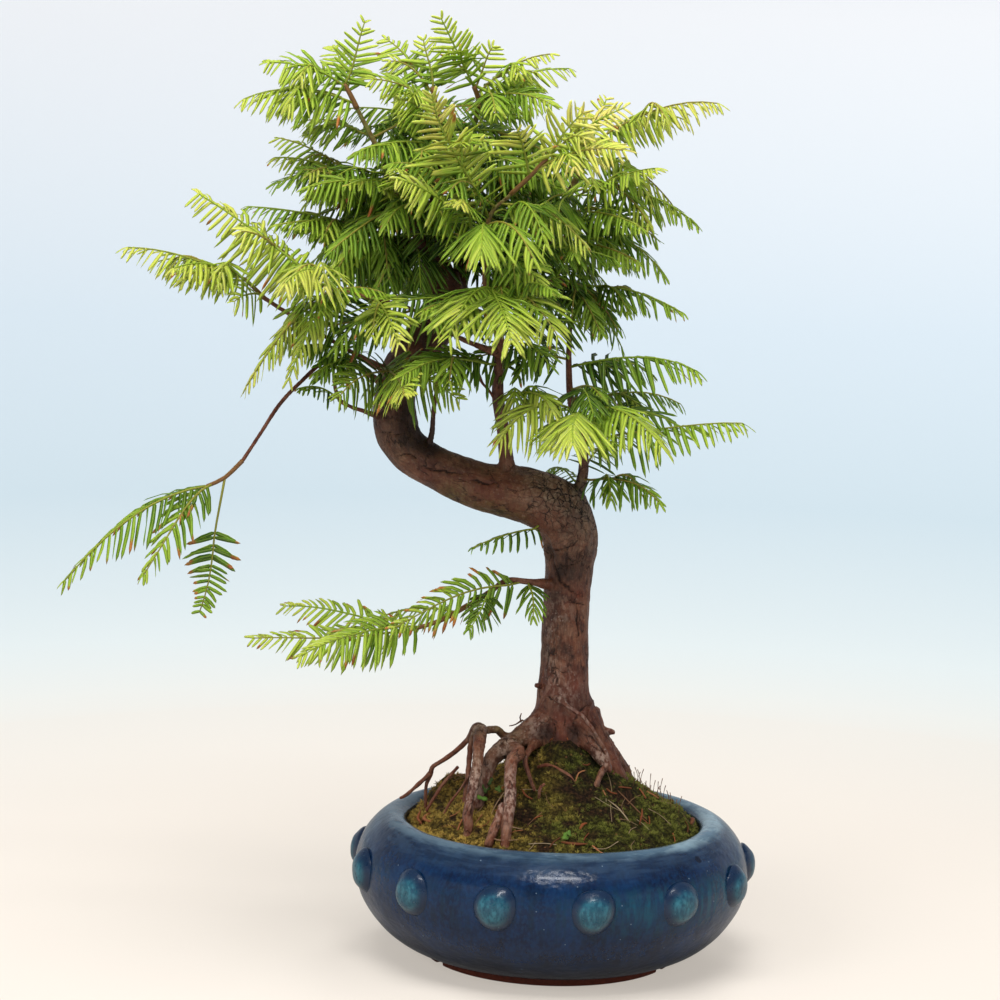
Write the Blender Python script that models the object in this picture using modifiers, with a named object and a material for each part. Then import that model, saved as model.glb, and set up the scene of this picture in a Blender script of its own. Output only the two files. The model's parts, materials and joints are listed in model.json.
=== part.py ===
"""A dawn redwood grown as a bonsai, in a round glazed pot with a ring of raised studs.

The origin is on the pot's axis at the level that the foot stands on, with +Z up and the
front towards -Y. Lengths are written in millimetres and turned into metres as they are used.
"""
import math
import random

import bmesh
import bpy
import numpy as np
from mathutils import Matrix, Vector
from mathutils.bvhtree import BVHTree

MM = 0.001
MERGE = 0.00001
SEED = 7
ROUND_SIDES = 16

# Pot: radius and height of the outline, from the middle of the inside floor over the lip to the foot.
POT_INSIDE = [(0, 9), (60, 9), (80, 19), (87, 37), (80, 54), (72, 61), (71, 64.5)]
POT_OUTSIDE = [(73.5, 67), (79, 67.5), (86, 63), (92.5, 54), (94.8, 42), (92.2, 29), (85, 17.5),
               (76, 9.5), (67, 5), (61.5, 4), (60, 0), (0, 0)]
POT_STEPS = 30
STUD_COUNT = 13
STUD_FIRST_ANGLE = math.radians(-79)
STUD_RADIUS = 10.2
STUD_CENTRE = (92.9, 44.6)
STUD_DEPTH = 7.2
STUD_SUNK = 0.4
STUD_SIDES = 9
STUD_BANDS = 5
DRAIN_HOLES = 3
DRAIN_HOLE_RADIUS = 7.0
DRAIN_HOLE_AT = 32.0
DRAIN_CUTTER_HEIGHT = 40.0
GROOVE_WIDTH = 8.0
GROOVE_DEPTH = 3.0
GROOVE_PAST_FOOT = 8.0
SCREEN_RADIUS = 44.0
SCREEN_THICKNESS = 1.0
SCREEN_GAP = 0.3
SCREEN_HOLE = 5.0
SCREEN_HOLE_PITCH = 6.75
SCREEN_CUTTER_HEIGHT = 6.0

# Soil: a mound under the trunk that falls to just below the lip.
SOIL_EDGE = 61.5
SOIL_RINGS = [64, 50, 36, 22]
SOIL_RIM = 71.1
SOIL_BOTTOM = 10.8
SOIL_BOTTOM_RADIUS = 58.0
SOIL_FALL = 12.0
SOIL_WALL_GAP = 1.0
SOIL_LEVEL_SLACK = 0.1
MOUND_AT = (2.0, 1.0)
MOUND_HEIGHT = 42.0
MOUND_SPREAD = 45.0
HUMPS = [(-52, 12, 10, 11), (36, -14, 4, 16), (-30, -28, 4, 16), (24, -40, 3, 14), (-10, 46, 4, 18)]
CLEARANCE = 0.45
HOLES_BELOW = 106.0
HOLE_PAST_END = 1.2
HOLE_LEAST_RADIUS = 0.5

# Branches: points (x, y, z, radius) from the root end to the tip.
TRUNK = [(6, -1, 86, 11), (6, -1, 97, 14), (5, -1, 107, 17), (4, 0, 115, 14.6), (3, 0, 126, 12.8),
         (3, 2, 148, 11.4), (3, 4, 173, 11.1), (4, 5, 191, 11.8), (3, 5, 205, 13.2), (-3, 3, 216, 14.2),
         (-14, 0, 222, 13.8), (-28, -3, 225, 12.4), (-44, -5, 229, 11.2), (-59, -6, 235, 10.2),
         (-72, -6, 242, 10.4), (-80, -5, 252, 10.5), (-82, -2, 265, 9.8), (-80, 2, 278, 9.9),
         (-72, 6, 291, 10.3), (-64, 9, 303, 10.2), (-59, 11, 315, 9.2), (-60, 12, 326, 7.0)]
BRANCHES = {
    "leader_mid": [(-59, 11, 315, 5.5), (-64, 8, 335, 4.2), (-66, 5, 355, 3.6), (-64, 4, 377, 2.8),
                   (-65, 2, 398, 2.0)],
    "leader_back": [(-55, 18, 312, 5.0), (-52, 24, 338, 3.8), (-55, 26, 362, 3.0), (-51, 22, 386, 2.3),
                    (-47, 14, 404, 1.6)],
    "leader_left": [(-65, 4, 317, 4.0), (-70, 0, 338, 3.2), (-80, -4, 360, 2.5), (-89, -6, 378, 2.0),
                    (-97, -8, 393, 1.7), (-103, -10, 404, 1.5)],
    "leader_right": [(-54, 16, 311, 4.5), (-34, 26, 322, 3.6), (-20, 28, 333, 3.1), (-10, 24, 347, 2.7),
                     (-3, 18, 364, 2.3), (3, 12, 379, 1.9)],
    "riser_arm": [(-27, -3, 228, 5.6), (-28, -7, 240, 4.6), (-30, -10, 255, 3.9), (-33, -14, 272, 3.5),
                  (-33, -19, 287, 3.1), (-33, -24, 299, 2.7), (-39, -29, 318, 2.1), (-41, -32, 339, 1.7),
                  (-39, -33, 357, 1.4), (-30, -34, 367, 1.2)],
    "riser_inner": [(-68, -7, 242, 2.4), (-64, -12, 251, 1.6), (-63, -16, 265, 1.4), (-61, -20, 281, 1.2),
                    (-61, -24, 300, 1.0)],
    "riser_right": [(4, 5, 217, 3.6), (8, 4, 229, 2.7), (9, 2, 240, 2.4), (7, 0, 253, 2.1),
                    (2, -3, 268, 1.7), (0, -5, 287, 1.5), (0, -6, 306, 1.1)],
    "limb_left": [(-79, -1, 277, 3.4), (-93, -16, 286, 2.2), (-105, -26, 293, 1.8), (-118, -32, 301, 1.6),
                  (-131, -36, 309, 1.5), (-142, -39, 316, 1.4)],
    "limb_drooping": [(-80, -3, 269, 3.0), (-95, -16, 281, 2.0), (-105, -22, 287, 1.8),
                      (-115, -28, 286, 1.6), (-125, -33, 277, 1.5), (-134, -38, 267, 1.4),
                      (-142, -42, 254, 1.3), (-150, -45, 241, 1.2)],
    "twig_left": [(-84, -5, 258, 2.0), (-97, -16, 263, 1.4), (-104, -20, 266, 1.2)],
    "twig_cross": [(-33, -22, 292, 2.0), (-49, -33, 299, 1.5), (-62, -38, 306, 1.3), (-76, -41, 314, 1.2),
                   (-89, -43, 317, 1.1)],
    "limb_low": [(0, 1, 180, 3.6), (-15, -10, 183, 2.4), (-26, -15, 184, 1.9), (-34, -19, 179, 1.6),
                 (-44, -23, 173, 1.4)],
    "twig_upper_left": [(-80, -4, 360, 1.8), (-92, -2, 366, 1.4)],
    "twig_mid_left": [(-70, 0, 338, 2.0), (-84, -2, 343, 1.5)],
    "twig_mid_right": [(-20, 28, 333, 2.0), (-8, 22, 328, 1.5)],
    "twig_back_left": [(-65, 6, 346, 2.2), (-76, 35, 354, 1.5)],
    "twig_back_right": [(-53, 26, 350, 2.2), (-39, 52, 359, 1.5)],
    "twig_back_low": [(-62, 14, 306, 2.4), (-68, 40, 313, 1.6)],
    "stub_right": [(14, -2, 116, 3.0), (19, -3, 113, 2.4), (26.4, -4, 110.2, 1.9)],
}
ROOTS = {
    "buttress_left": [(-4, -3, 113, 9), (-9, -8, 112, 7), (-17, -12, 107, 5.6), (-24, -16, 103.6, 4.7),
                      (-30, -21, 99, 4.1), (-33, -27, 90, 3.3), (-36, -29, 78, 2.8)],
    "prop_front": [(-22, -18, 104, 4.2), (-18, -27, 104, 3.6), (-21, -37, 101.5, 3.3), (-21.7, -45, 94, 3.1),
                   (-21.5, -52, 84.5, 3.1), (-22.8, -57, 73, 2.9), (-24, -60, 62, 2.6)],
    "prop_left": [(-36, -12, 111, 3.6), (-36.4, -20, 108.5, 3.5), (-37, -30, 103, 3.2), (-38, -37.5, 94, 3),
                  (-40, -42, 83, 2.9), (-41, -45, 73.5, 2.6), (-41, -47, 65, 2.3)],
    "arch_high": [(-9, -5, 112, 3.6), (-17, -6, 108, 2.7), (-24, -6, 107, 2.3), (-29, -7, 110, 2.1),
                  (-37.5, -10, 111.5, 2.6), (-42.3, -9, 105.3, 1.7), (-47, -8, 100.2, 1.6),
                  (-51, -7, 96.6, 1.5), (-56, -6, 93, 1.4), (-60, -4, 87.5, 1.4), (-61.6, -4, 80, 1.3),
                  (-61.6, -4, 71, 1.2)],
    "tip_left": [(-60, -4, 87.5, 1.4), (-65, -6.5, 82.5, 1.2), (-70, -8.5, 78.5, 1.1), (-74, -10.5, 76, 1.0)],
    "prop_inner": [(-38.5, -13, 109, 2.1), (-40.7, -15, 103, 1.7), (-41.5, -17, 92, 1.5),
                   (-42.2, -20, 84, 1.4), (-43, -22, 74, 1.4)],
    "buttress_right": [(13, -1, 116, 9), (18, -3, 108, 7), (22, -4.5, 102, 5.6), (27.3, -7, 94.5, 4.6),
                       (33, -10, 85, 4.1), (37.2, -12, 78, 3.7), (40.4, -15, 69, 3.2)],
    "fork_right": [(8, -9, 115, 5), (12, -13, 111, 4.2), (18, -17, 104.6, 3.5), (23, -20, 98.5, 2.9),
                   (21.5, -23, 94, 1.9), (19, -26, 85, 1.6)],
    "front_small": [(-9, -12, 106, 3.2), (-12, -20, 104.5, 2.0), (-14.5, -25.5, 99.5, 1.6),
                    (-12.9, -30, 93, 1.4), (-9, -35, 83, 1.3)],
    "foot_small": [(-24, -50, 81, 2.2), (-26.5, -54, 76, 2.4), (-30.5, -59.5, 65, 2.1)],
    "back_left": [(-2, 8, 113, 9), (-9, 22, 101, 6.4), (-15, 34, 92, 5), (-21, 45, 81, 4.2),
                  (-25, 53, 70, 3.6)],
    "back_right": [(10, 8, 113, 9), (20, 20, 101, 6.4), (28, 31, 91, 5), (35, 40, 80, 4.2),
                   (40, 47, 69, 3.6)],
}
TRUNK_RESOLUTION = 4
LIMB_RESOLUTION = 1
TWIG_RESOLUTION = 0
TWIG_RADIUS = 2.5
TRUNK_PITCH = 13.0
BRANCH_PITCH = 20.0

# Fronds: where each one springs from, how far along, its tip, its rise, facing, hang and needle length.
# The fans of a spray say which frond has side fronds, and how far each of those turns from it in degrees.
FACINGS = {"up": (0, -0.1, 1), "tilt": (0, -0.5, 0.87), "slant": (0, -0.8, 0.6), "view": (0, -1, 0.12)}
NEEDLE_PITCH = 7.0
CORE_WIDTH = 1.3
CORE_DEPTH = 1.15
CORE_AT_TIP = 0.75
CORE_AT_BARK = 0.6
CORE_IN_SHOOT = 0.9
SHOOT_RESOLUTION = 0
SWEEP_AT_BASE = 22.0
SWEEP_AT_TIP = 48.0
REACH_LEAST = 0.62
REACH_START = 0.1
REACH_RATE = 1.25
REACH_FALL = 0.45
REACH_FALL_FROM = 0.7
END_NEEDLE = 0.45
SEAT_GAP = 0.38
GUARD = 0.18
SPRING = 0.12
JITTER = 0.12
NEEDLE_CUT = 0.7
NEEDLE_DROPPED = 0.3
NEEDLE_ROUNDS = 8
LEAST_STEPS = 5
FAN_START = 0.12
FAN_STEP = 0.1
FAN_REACH = 0.74
FAN_DROP = 5.0
FAN_NEEDLE = 0.9
SPRAYS = {
    "spray_drooping": {
        "shoot": [(-150, -45, 241, 1.1), (-158, -47, 233, 1.0), (-166, -48, 229, 0.9)],
        "fronds": [
            ("shoot", 1.0, (-229, -66, 185), 9, "tilt", 0.45, 15),
            ("shoot", 0.85, (-193, -72, 189), 5, "tilt", 0.3, 14),
            ("shoot", 0.55, (-168, -52, 171), -3, "view", 0.0, 14),
        ]},
    "spray_far_left": {
        "fans": {0: (34, -36)},
        "shoot": [(-142, -39, 316, 1.2), (-147, -41, 321, 1.0), (-151, -43, 325, 0.9)],
        "fronds": [
            ("shoot", 1.0, (-204, -58, 338), 3, "tilt", 0.45, 13),
            ("shoot", 0.6, (-177, -64, 325), 7, "tilt", 0.35, 13),
            ("shoot", 0.2, (-154, -60, 315), 2, "view", 0.1, 11),
        ]},
    "spray_left": {
        "fans": {0: (-38,), 2: (36,)},
        "shoot": [(-89, -43, 317, 1.1), (-102, -45, 320, 1.0), (-115, -47, 323, 0.9)],
        "fronds": [
            ("shoot", 1.0, (-173, -52, 364), 2, "slant", 0.5, 16),
            ("shoot", 0.8, (-128, -92, 326), 8, "tilt", 0.5, 17),
            ("shoot", 0.5, (-149, -58, 276), 10, "tilt", 0.4, 12),
            ("shoot", 0.1, (-78, -74, 300), 3, "view", 0.0, 13),
        ]},
    "frond_left_tuft": {"fronds": [("limb_left", 0.46, (-126, -46, 293), 4, "tilt", 0.4, 11)]},
    "frond_left_bush": {"fronds": [("limb_left", 0.34, (-116, -52, 284), 5, "tilt", 0.4, 13)]},
    "frond_left_big": {
        "fans": {0: (38, -42)},
        "fronds": [("limb_left", 0.2, (-75, -84, 277), 4, "view", 0.0, 17)]},
    "spray_left_low": {
        "shoot": [(-104, -20, 266, 1.1), (-107, -22, 268, 1.0), (-109, -24, 273, 0.9), (-110, -27, 281, 0.8)],
        "fronds": [
            ("shoot", 1.0, (-104, -50, 299), 4, "tilt", 0.2, 12),
            ("shoot", 0.2, (-125, -38, 275), 3, "tilt", 0.4, 7),
        ]},
    "spray_mid_left": {
        "fans": {0: (38,), 2: (-36,), 3: (38,)},
        "shoot": [(-84, -2, 343, 1.3), (-92, -3, 346, 1.1), (-99, -4, 347, 1.0)],
        "fronds": [
            ("shoot", 1.0, (-153, -20, 357), 3, "tilt", 0.4, 12),
            ("shoot", 0.75, (-138, -33, 349), 4, "tilt", 0.3, 12),
            ("shoot", 0.5, (-123, 8, 331), 4, "tilt", 0.3, 13),
            ("shoot", 0.25, (-108, -38, 331), 7, "slant", 0.6, 17),
        ]},
    "spray_upper_left": {
        "fans": {0: (36,), 2: (-36,)},
        "shoot": [(-92, -2, 366, 1.2), (-99, -1, 369, 1.1), (-105, 0, 371, 1.0)],
        "fronds": [
            ("shoot", 1.0, (-141, -12, 380), 3, "tilt", 0.4, 12),
            ("shoot", 0.7, (-141, 12, 389), 3, "tilt", 0.3, 12),
            ("shoot", 0.4, (-124, -30, 363), 4, "tilt", 0.4, 12),
        ]},
    "frond_upper_left": {
        "fans": {0: (40,)},
        "fronds": [("leader_left", 0.86, (-131, 14, 397), 4, "tilt", 0.3, 12)]},
    "spray_top_left": {
        "fans": {1: (-38,), 2: (-34,), 3: (-40,)},
        "shoot": [(-103, -10, 404, 1.4), (-106, -11, 410, 1.2), (-109, -11, 415, 1.0)],
        "fronds": [
            ("shoot", 1.0, (-100, -12, 444), -2, "view", 0.0, 12),
            ("shoot", 0.8, (-144, -24, 424), 4, "slant", 0.3, 13),
            ("shoot", 0.2, (-155, -28, 406), 6, "tilt", 0.5, 15),
            ("shoot", 0.6, (-116, 12, 433), 2, "slant", 0.0, 12),
        ]},
    "frond_front_small": {
        "fans": {0: (-38,)},
        "fronds": [("leader_left", 0.5, (-81, -66, 378), 4, "tilt", 0.2, 11)]},
    "frond_front_high": {"fronds": [("riser_arm", 0.9, (-67, -62, 411), 4, "view", 0.0, 17)]},
    "frond_front_left": {
        "fans": {0: (38,)},
        "fronds": [("riser_arm", 0.83, (-81, -72, 374), 6, "slant", 0.3, 13)]},
    "spray_front_shoot": {
        "shoot": [(-30, -34, 367, 1.2), (-22, -37, 375, 1.1), (-14, -41, 384, 1.0)],
        "fronds": [
            ("shoot", 1.0, (1, -46, 405), 1, "view", -0.1, 17),
            ("shoot", 0.85, (20, -44, 408), 3, "slant", 0.2, 14),
            ("shoot", 0.7, (21, -60, 389), 4, "slant", 0.2, 14),
            ("shoot", 0.5, (-28, -52, 396), 3, "view", 0.0, 15),
        ]},
    "spray_top": {
        "fans": {2: (38,), 4: (-38,)},
        "shoot": [(-47, 14, 404, 1.5), (-46.5, 11.5, 410, 1.3), (-49, 8, 416, 1.1)],
        "fronds": [
            ("shoot", 1.0, (-65, -8, 447), 0, "view", 0.0, 13),
            ("shoot", 0.9, (-40, 6, 435), 2, "slant", 0.1, 11),
            ("shoot", 0.7, (-13, -6, 432), 4, "tilt", 0.3, 10),
            ("shoot", 0.5, (-4, 18, 426), 4, "tilt", 0.3, 12),
            ("shoot", 0.4, (-12, -22, 408), 5, "slant", 0.2, 13),
        ]},
    "spray_top_mid": {
        "fans": {1: (38,), 2: (40,)},
        "shoot": [(-65, 2, 398, 1.8), (-67, 1, 407, 1.4), (-68, 0, 415, 1.1)],
        "fronds": [
            ("shoot", 1.0, (-73, 4, 437), 1, "slant", 0.0, 12),
            ("shoot", 0.8, (-92, 14, 437), 3, "slant", 0.1, 13),
            ("shoot", 0.38, (-96, -18, 418), 4, "slant", 0.2, 13),
            ("shoot", 0.1, (-84, -32, 408), 3, "view", 0.0, 12),
        ]},
    "spray_top_right": {
        "fans": {0: (34,), 2: (-38,)},
        "shoot": [(3, 12, 379, 1.7), (6, 10, 385, 1.4), (8, 8, 391, 1.1)],
        "fronds": [
            ("shoot", 1.0, (66, -14, 411), 7, "tilt", 0.55, 13),
            ("shoot", 0.8, (14, 14, 412), 2, "slant", 0.1, 12),
            ("shoot", 0.3, (48, 22, 363), 8, "tilt", 0.4, 13),
        ]},
    "frond_right_a": {
        "fans": {0: (-34,)},
        "fronds": [("leader_right", 0.95, (58, -2, 355), 5, "tilt", 0.4, 12)]},
    "frond_right_b": {
        "fans": {0: (-36,)},
        "fronds": [("leader_right", 0.84, (37, -26, 381), 5, "tilt", 0.3, 13)]},
    "frond_right_c": {
        "fans": {0: (-38,)},
        "fronds": [("leader_right", 0.76, (30, -36, 354), 5, "tilt", 0.4, 12)]},
    "frond_right_d": {
        "fans": {0: (36,)},
        "fronds": [("leader_right", 0.68, (44, 10, 331), 8, "tilt", 0.5, 14)]},
    "frond_right_e": {
        "fans": {0: (-38,)},
        "fronds": [("leader_right", 0.6, (29, -26, 337), 6, "tilt", 0.4, 13)]},
    "spray_mid_right": {
        "fans": {2: (38,)},
        "shoot": [(-8, 22, 328, 1.4), (-2, 19, 325, 1.2), (4, 16, 323, 1.0)],
        "fronds": [
            ("shoot", 1.0, (53, -2, 313), 4, "tilt", 0.4, 11),
            ("shoot", 0.8, (26, 26, 293), 5, "tilt", 0.4, 12),
            ("shoot", 0.3, (14, -18, 303), 5, "tilt", 0.3, 12),
            ("shoot", 0.1, (21, 44, 319), 8, "tilt", 0.4, 12),
        ]},
    "frond_arm_low": {"fronds": [("riser_arm", 0.49, (-10, -46, 290), 5, "tilt", 0.3, 13)]},
    "frond_arm_thin": {"fronds": [("riser_arm", 0.4, (-1, -14, 292), 6, "tilt", 0.1, 6)]},
    "frond_face_top": {
        "fans": {0: (40,)},
        "fronds": [("riser_arm", 0.86, (-43, -92, 341), 8, "tilt", 0.5, 18)]},
    "frond_face_big": {
        "fans": {0: (40, -40)},
        "fronds": [("riser_arm", 0.68, (-29, -98, 304), 8, "tilt", 0.15, 22)]},
    "frond_face_left": {
        "fans": {0: (-34,)},
        "fronds": [("riser_arm", 0.42, (-77, -72, 286), 5, "slant", 0.3, 14)]},
    "frond_face_right": {
        "fans": {0: (40,)},
        "fronds": [("riser_arm", 0.74, (-15, -56, 327), 6, "slant", 0.2, 14)]},
    "frond_face_upper": {
        "fans": {0: (-38,)},
        "fronds": [("riser_arm", 0.96, (5, -46, 345), 8, "tilt", 0.3, 14)]},
    "frond_stem_top": {"fronds": [("riser_right", 0.78, (60, -26, 287), 6, "tilt", 0.55, 14)]},
    "frond_stem_small": {"fronds": [("riser_right", 0.66, (16, -34, 274), 4, "tilt", 0.3, 9)]},
    "frond_stem_back": {"fronds": [("riser_right", 0.56, (55, 16, 268), 5, "tilt", 0.4, 12)]},
    "frond_stem_face": {
        "fans": {0: (42, -42)},
        "fronds": [("riser_right", 0.5, (2, -96, 259), 10, "tilt", 0.35, 22)]},
    "frond_stem_long": {"fronds": [("riser_right", 0.37, (81, -34, 264), 3, "tilt", 0.55, 14)]},
    "frond_stem_low": {"fronds": [("riser_right", 0.17, (43, -34, 226), 6, "tilt", 0.3, 12)]},
    "frond_stem_rear": {"fronds": [("riser_right", 0.22, (20, 30, 242), 4, "slant", 0.1, 11)]},
    "frond_stem_inner": {"fronds": [("riser_right", 0.13, (-7, 34, 232), 3, "tilt", 0.3, 9)]},
    "frond_arm_wide": {"fronds": [("riser_arm", 0.29, (-8, -54, 270), 7, "slant", 0.5, 14)]},
    "frond_low_upper": {"fronds": [("limb_low", 0.45, (-78, -52, 167), 8, "slant", 0.1, 11)]},
    "spray_low": {
        "shoot": [(-44, -23, 173, 1.3), (-57, -28, 166, 1.1), (-74, -33, 161, 0.9)],
        "fronds": [
            ("shoot", 1.0, (-144, -46, 157), 0, "tilt", 0.35, 12),
            ("shoot", 0.9, (-132, -22, 169), 3, "tilt", 0.3, 11),
            ("shoot", 0.75, (-119, -74, 155), 5, "slant", 0.2, 14),
            ("shoot", 0.2, (-91, -8, 161), 4, "tilt", 0.3, 10),
        ]},
    "frond_low_inner": {"fronds": [("limb_low", 0.37, (-13, -26, 168), 4, "slant", 0.3, 9)]},
    "frond_low_small": {"fronds": [("limb_low", 0.78, (-43, -46, 165), 3, "slant", 0.2, 9)]},
    "frond_under_bend": {"fronds": [("trunk", 0.455, (-42, -32, 202), 4, "tilt", 0.5, 8)]},
    "spray_back_left": {
        "shoot": [(-76, 35, 354, 1.4), (-81, 49, 358, 1.2), (-85, 62, 360, 1.0)],
        "fronds": [
            ("shoot", 1.0, (-91, 112, 366), 6, "up", 0.3, 14),
            ("shoot", 0.8, (-125, 84, 363), 6, "up", 0.3, 14),
            ("shoot", 0.4, (-115, 58, 343), 6, "up", 0.3, 14),
        ]},
    "spray_back_right": {
        "shoot": [(-39, 52, 359, 1.4), (-33, 63, 363, 1.2), (-28, 74, 366, 1.0)],
        "fronds": [
            ("shoot", 1.0, (-28, 122, 374), 6, "up", 0.3, 14),
            ("shoot", 0.8, (14, 98, 370), 6, "up", 0.3, 14),
            ("shoot", 0.3, (4, 74, 349), 6, "up", 0.3, 14),
        ]},
    "spray_back_low": {
        "shoot": [(-68, 40, 313, 1.5), (-70, 52, 316, 1.2), (-72, 64, 318, 1.0)],
        "fronds": [
            ("shoot", 1.0, (-66, 112, 318), 6, "up", 0.3, 14),
            ("shoot", 0.8, (-105, 88, 311), 6, "up", 0.3, 14),
            ("shoot", 0.4, (-34, 78, 308), 6, "up", 0.3, 14),
        ]},
    "frond_core_left": {"fans": {0: (38,)}, "fronds": [
        ("leader_left", 0.22, (-90, -38, 322), 8, "slant", 0.6, 16)]},
    "frond_core_front": {"fans": {0: (40,)}, "fronds": [
        ("leader_mid", 0.5, (-86, -48, 352), 7, "tilt", 0.4, 14)]},
    "frond_core_right": {"fans": {0: (40,)}, "fronds": [
        ("leader_back", 0.5, (-14, -12, 384), 8, "tilt", 0.4, 14)]},
    "frond_arm_left": {"fronds": [
        ("riser_arm", 0.6, (-68, -56, 314), 5, "tilt", 0.4, 14)]},
    "frond_back_high": {"fronds": [("leader_back", 0.72, (-60, 84, 400), 7, "up", 0.3, 14)]},
    "frond_back_right": {"fronds": [("leader_back", 0.88, (-27, 70, 411), 6, "up", 0.3, 14)]},
    "frond_back_left": {"fronds": [("leader_mid", 0.86, (-90, 62, 404), 6, "up", 0.3, 14)]},
}


def principled(name, colour, roughness, metallic=0.0):
    """A material with one colour, for telling the sub-parts apart."""
    material = bpy.data.materials.new(name)
    material.use_nodes = True
    shader = material.node_tree.nodes["Principled BSDF"]
    shader.inputs["Base Color"].default_value = (*colour, 1.0)
    shader.inputs["Roughness"].default_value = roughness
    shader.inputs["Metallic"].default_value = metallic
    material.diffuse_color = (*colour, 1.0)
    return material


def mesh_object(name, mesh, collection):
    made = bpy.data.objects.new(name, mesh)
    collection.objects.link(made)
    return made


def evaluated_mesh(made, merge):
    """The mesh that an object's modifiers make, with doubled points merged and faces outwards."""
    bpy.context.view_layer.update()
    graph = bpy.context.evaluated_depsgraph_get()
    mesh = bpy.data.meshes.new_from_object(made.evaluated_get(graph))
    mesh.transform(made.matrix_world)
    bm = bmesh.new()
    bm.from_mesh(mesh)
    bmesh.ops.remove_doubles(bm, verts=bm.verts, dist=merge)
    bmesh.ops.recalc_face_normals(bm, faces=bm.faces)
    closed = all(edge.is_manifold for edge in bm.edges)
    bm.to_mesh(mesh)
    bm.free()
    mesh.shade_smooth()
    return mesh, closed


def settle(made, mesh=None):
    """Put a plain object with the given mesh, or its evaluated one, in an object's place."""
    if mesh is None:
        mesh, _closed = evaluated_mesh(made, MERGE)
    collection = made.users_collection[0]
    name = made.name
    bpy.data.objects.remove(made)
    return mesh_object(name, mesh, collection)


def fuse(made, others, collection):
    """Join solids that overlap into one, by a union with a collection that comes out closed."""
    if not others:
        return made
    group = bpy.data.collections.new(made.name + "_joined")
    bpy.context.scene.collection.children.link(group)
    for other in others:
        collection.objects.unlink(other)
        group.objects.link(other)
    union = made.modifiers.new("union", "BOOLEAN")
    union.operation = "UNION"
    union.operand_type = "COLLECTION"
    union.collection = group
    for solver in ("MANIFOLD", "EXACT"):
        union.solver = solver
        for merge in (MERGE, MERGE / 10):
            mesh, closed = evaluated_mesh(made, merge)
            if closed:
                break
        if closed:
            break
    fused = settle(made, mesh)
    for other in list(group.objects):
        bpy.data.objects.remove(other)
    bpy.data.collections.remove(group)
    return fused


def smooth_path(points, pitch):
    """Points of a Catmull-Rom curve through the given ones, about one pitch apart."""
    given = np.array(points, float)
    ends = np.vstack([2 * given[0] - given[1], given, 2 * given[-1] - given[-2]])
    path = []
    for i in range(len(given) - 1):
        a, b, c, d = ends[i:i + 4]
        pieces = max(1, round(np.linalg.norm(c[:3] - b[:3]) / pitch))
        for u in np.arange(pieces) / pieces:
            path.append(0.5 * (2 * b + (c - a) * u + (2 * a - 5 * b + 4 * c - d) * u * u
                               + (3 * b - a - 3 * c + d) * u ** 3))
    path.append(given[-1])
    return np.array(path)


def at_share(path, share):
    """The point, radius and direction at a share of a path's length."""
    steps = np.linalg.norm(np.diff(path[:, :3], axis=0), axis=1)
    run = np.concatenate([[0.0], np.cumsum(steps)])
    place = share * run[-1]
    i = min(int(np.searchsorted(run, place, side="right")) - 1, len(steps) - 1)
    u = (place - run[i]) / steps[i]
    here = path[i] * (1 - u) + path[i + 1] * u
    along = Vector(path[i + 1, :3] - path[i, :3]).normalized()
    return Vector(here[:3]), float(here[3]), along


def tube(name, path, resolution, collection, grow=0.0):
    """A round stem along a path, as thick at each point as the path says."""
    curve = bpy.data.curves.new(name, "CURVE")
    curve.dimensions = "3D"
    curve.bevel_depth = MM
    curve.bevel_resolution = resolution
    curve.use_fill_caps = True
    spline = curve.splines.new("POLY")
    spline.points.add(len(path) - 1)
    for point, (x, y, z, radius) in zip(spline.points, path):
        point.co = (x * MM, y * MM, z * MM, 1.0)
        point.radius = radius + grow
    return settle(mesh_object(name, curve, collection))


def outline_mesh(name, outline):
    mesh = bpy.data.meshes.new(name)
    points = [(radius * MM, 0.0, height * MM) for radius, height in outline]
    mesh.from_pydata(points, [(i, i + 1) for i in range(len(points) - 1)], [])
    return mesh


def turned(name, outline, collection):
    """A solid of revolution about Z from an outline that runs down its outer side."""
    made = mesh_object(name, outline_mesh(name, outline), collection)
    screw = made.modifiers.new("turn", "SCREW")
    screw.steps = POT_STEPS
    screw.render_steps = POT_STEPS
    screw.use_merge_vertices = True
    screw.merge_threshold = MERGE
    return settle(made)


def cut(made, cutters):
    """Take a collection of cutters out of a solid."""
    difference = made.modifiers.new("cut", "BOOLEAN")
    difference.operation = "DIFFERENCE"
    difference.operand_type = "COLLECTION"
    difference.collection = cutters
    return settle(made)


def cutter_collection(name):
    group = bpy.data.collections.new(name)
    bpy.context.scene.collection.children.link(group)
    return group


def hide_cutters(group):
    for cutter in group.objects:
        cutter.hide_render = True
        cutter.display_type = "WIRE"


def round_place(angle, radius, height):
    return Vector((radius * math.cos(angle), radius * math.sin(angle), height)) * MM


def cylinder(name, radius, height, centre, collection):
    bm = bmesh.new()
    bmesh.ops.create_cone(bm, cap_ends=True, segments=ROUND_SIDES, radius1=radius * MM, radius2=radius * MM,
                          depth=height * MM, matrix=Matrix.Translation(centre))
    mesh = bpy.data.meshes.new(name)
    bm.to_mesh(mesh)
    bm.free()
    return mesh_object(name, mesh, collection)


def box(name, size, matrix, collection):
    bm = bmesh.new()
    bmesh.ops.create_cube(bm, size=1.0)
    bmesh.ops.transform(bm, matrix=matrix @ Matrix.Diagonal((*[s * MM for s in size], 1.0)), verts=bm.verts)
    mesh = bpy.data.meshes.new(name)
    bm.to_mesh(mesh)
    bm.free()
    return mesh_object(name, mesh, collection)


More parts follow.
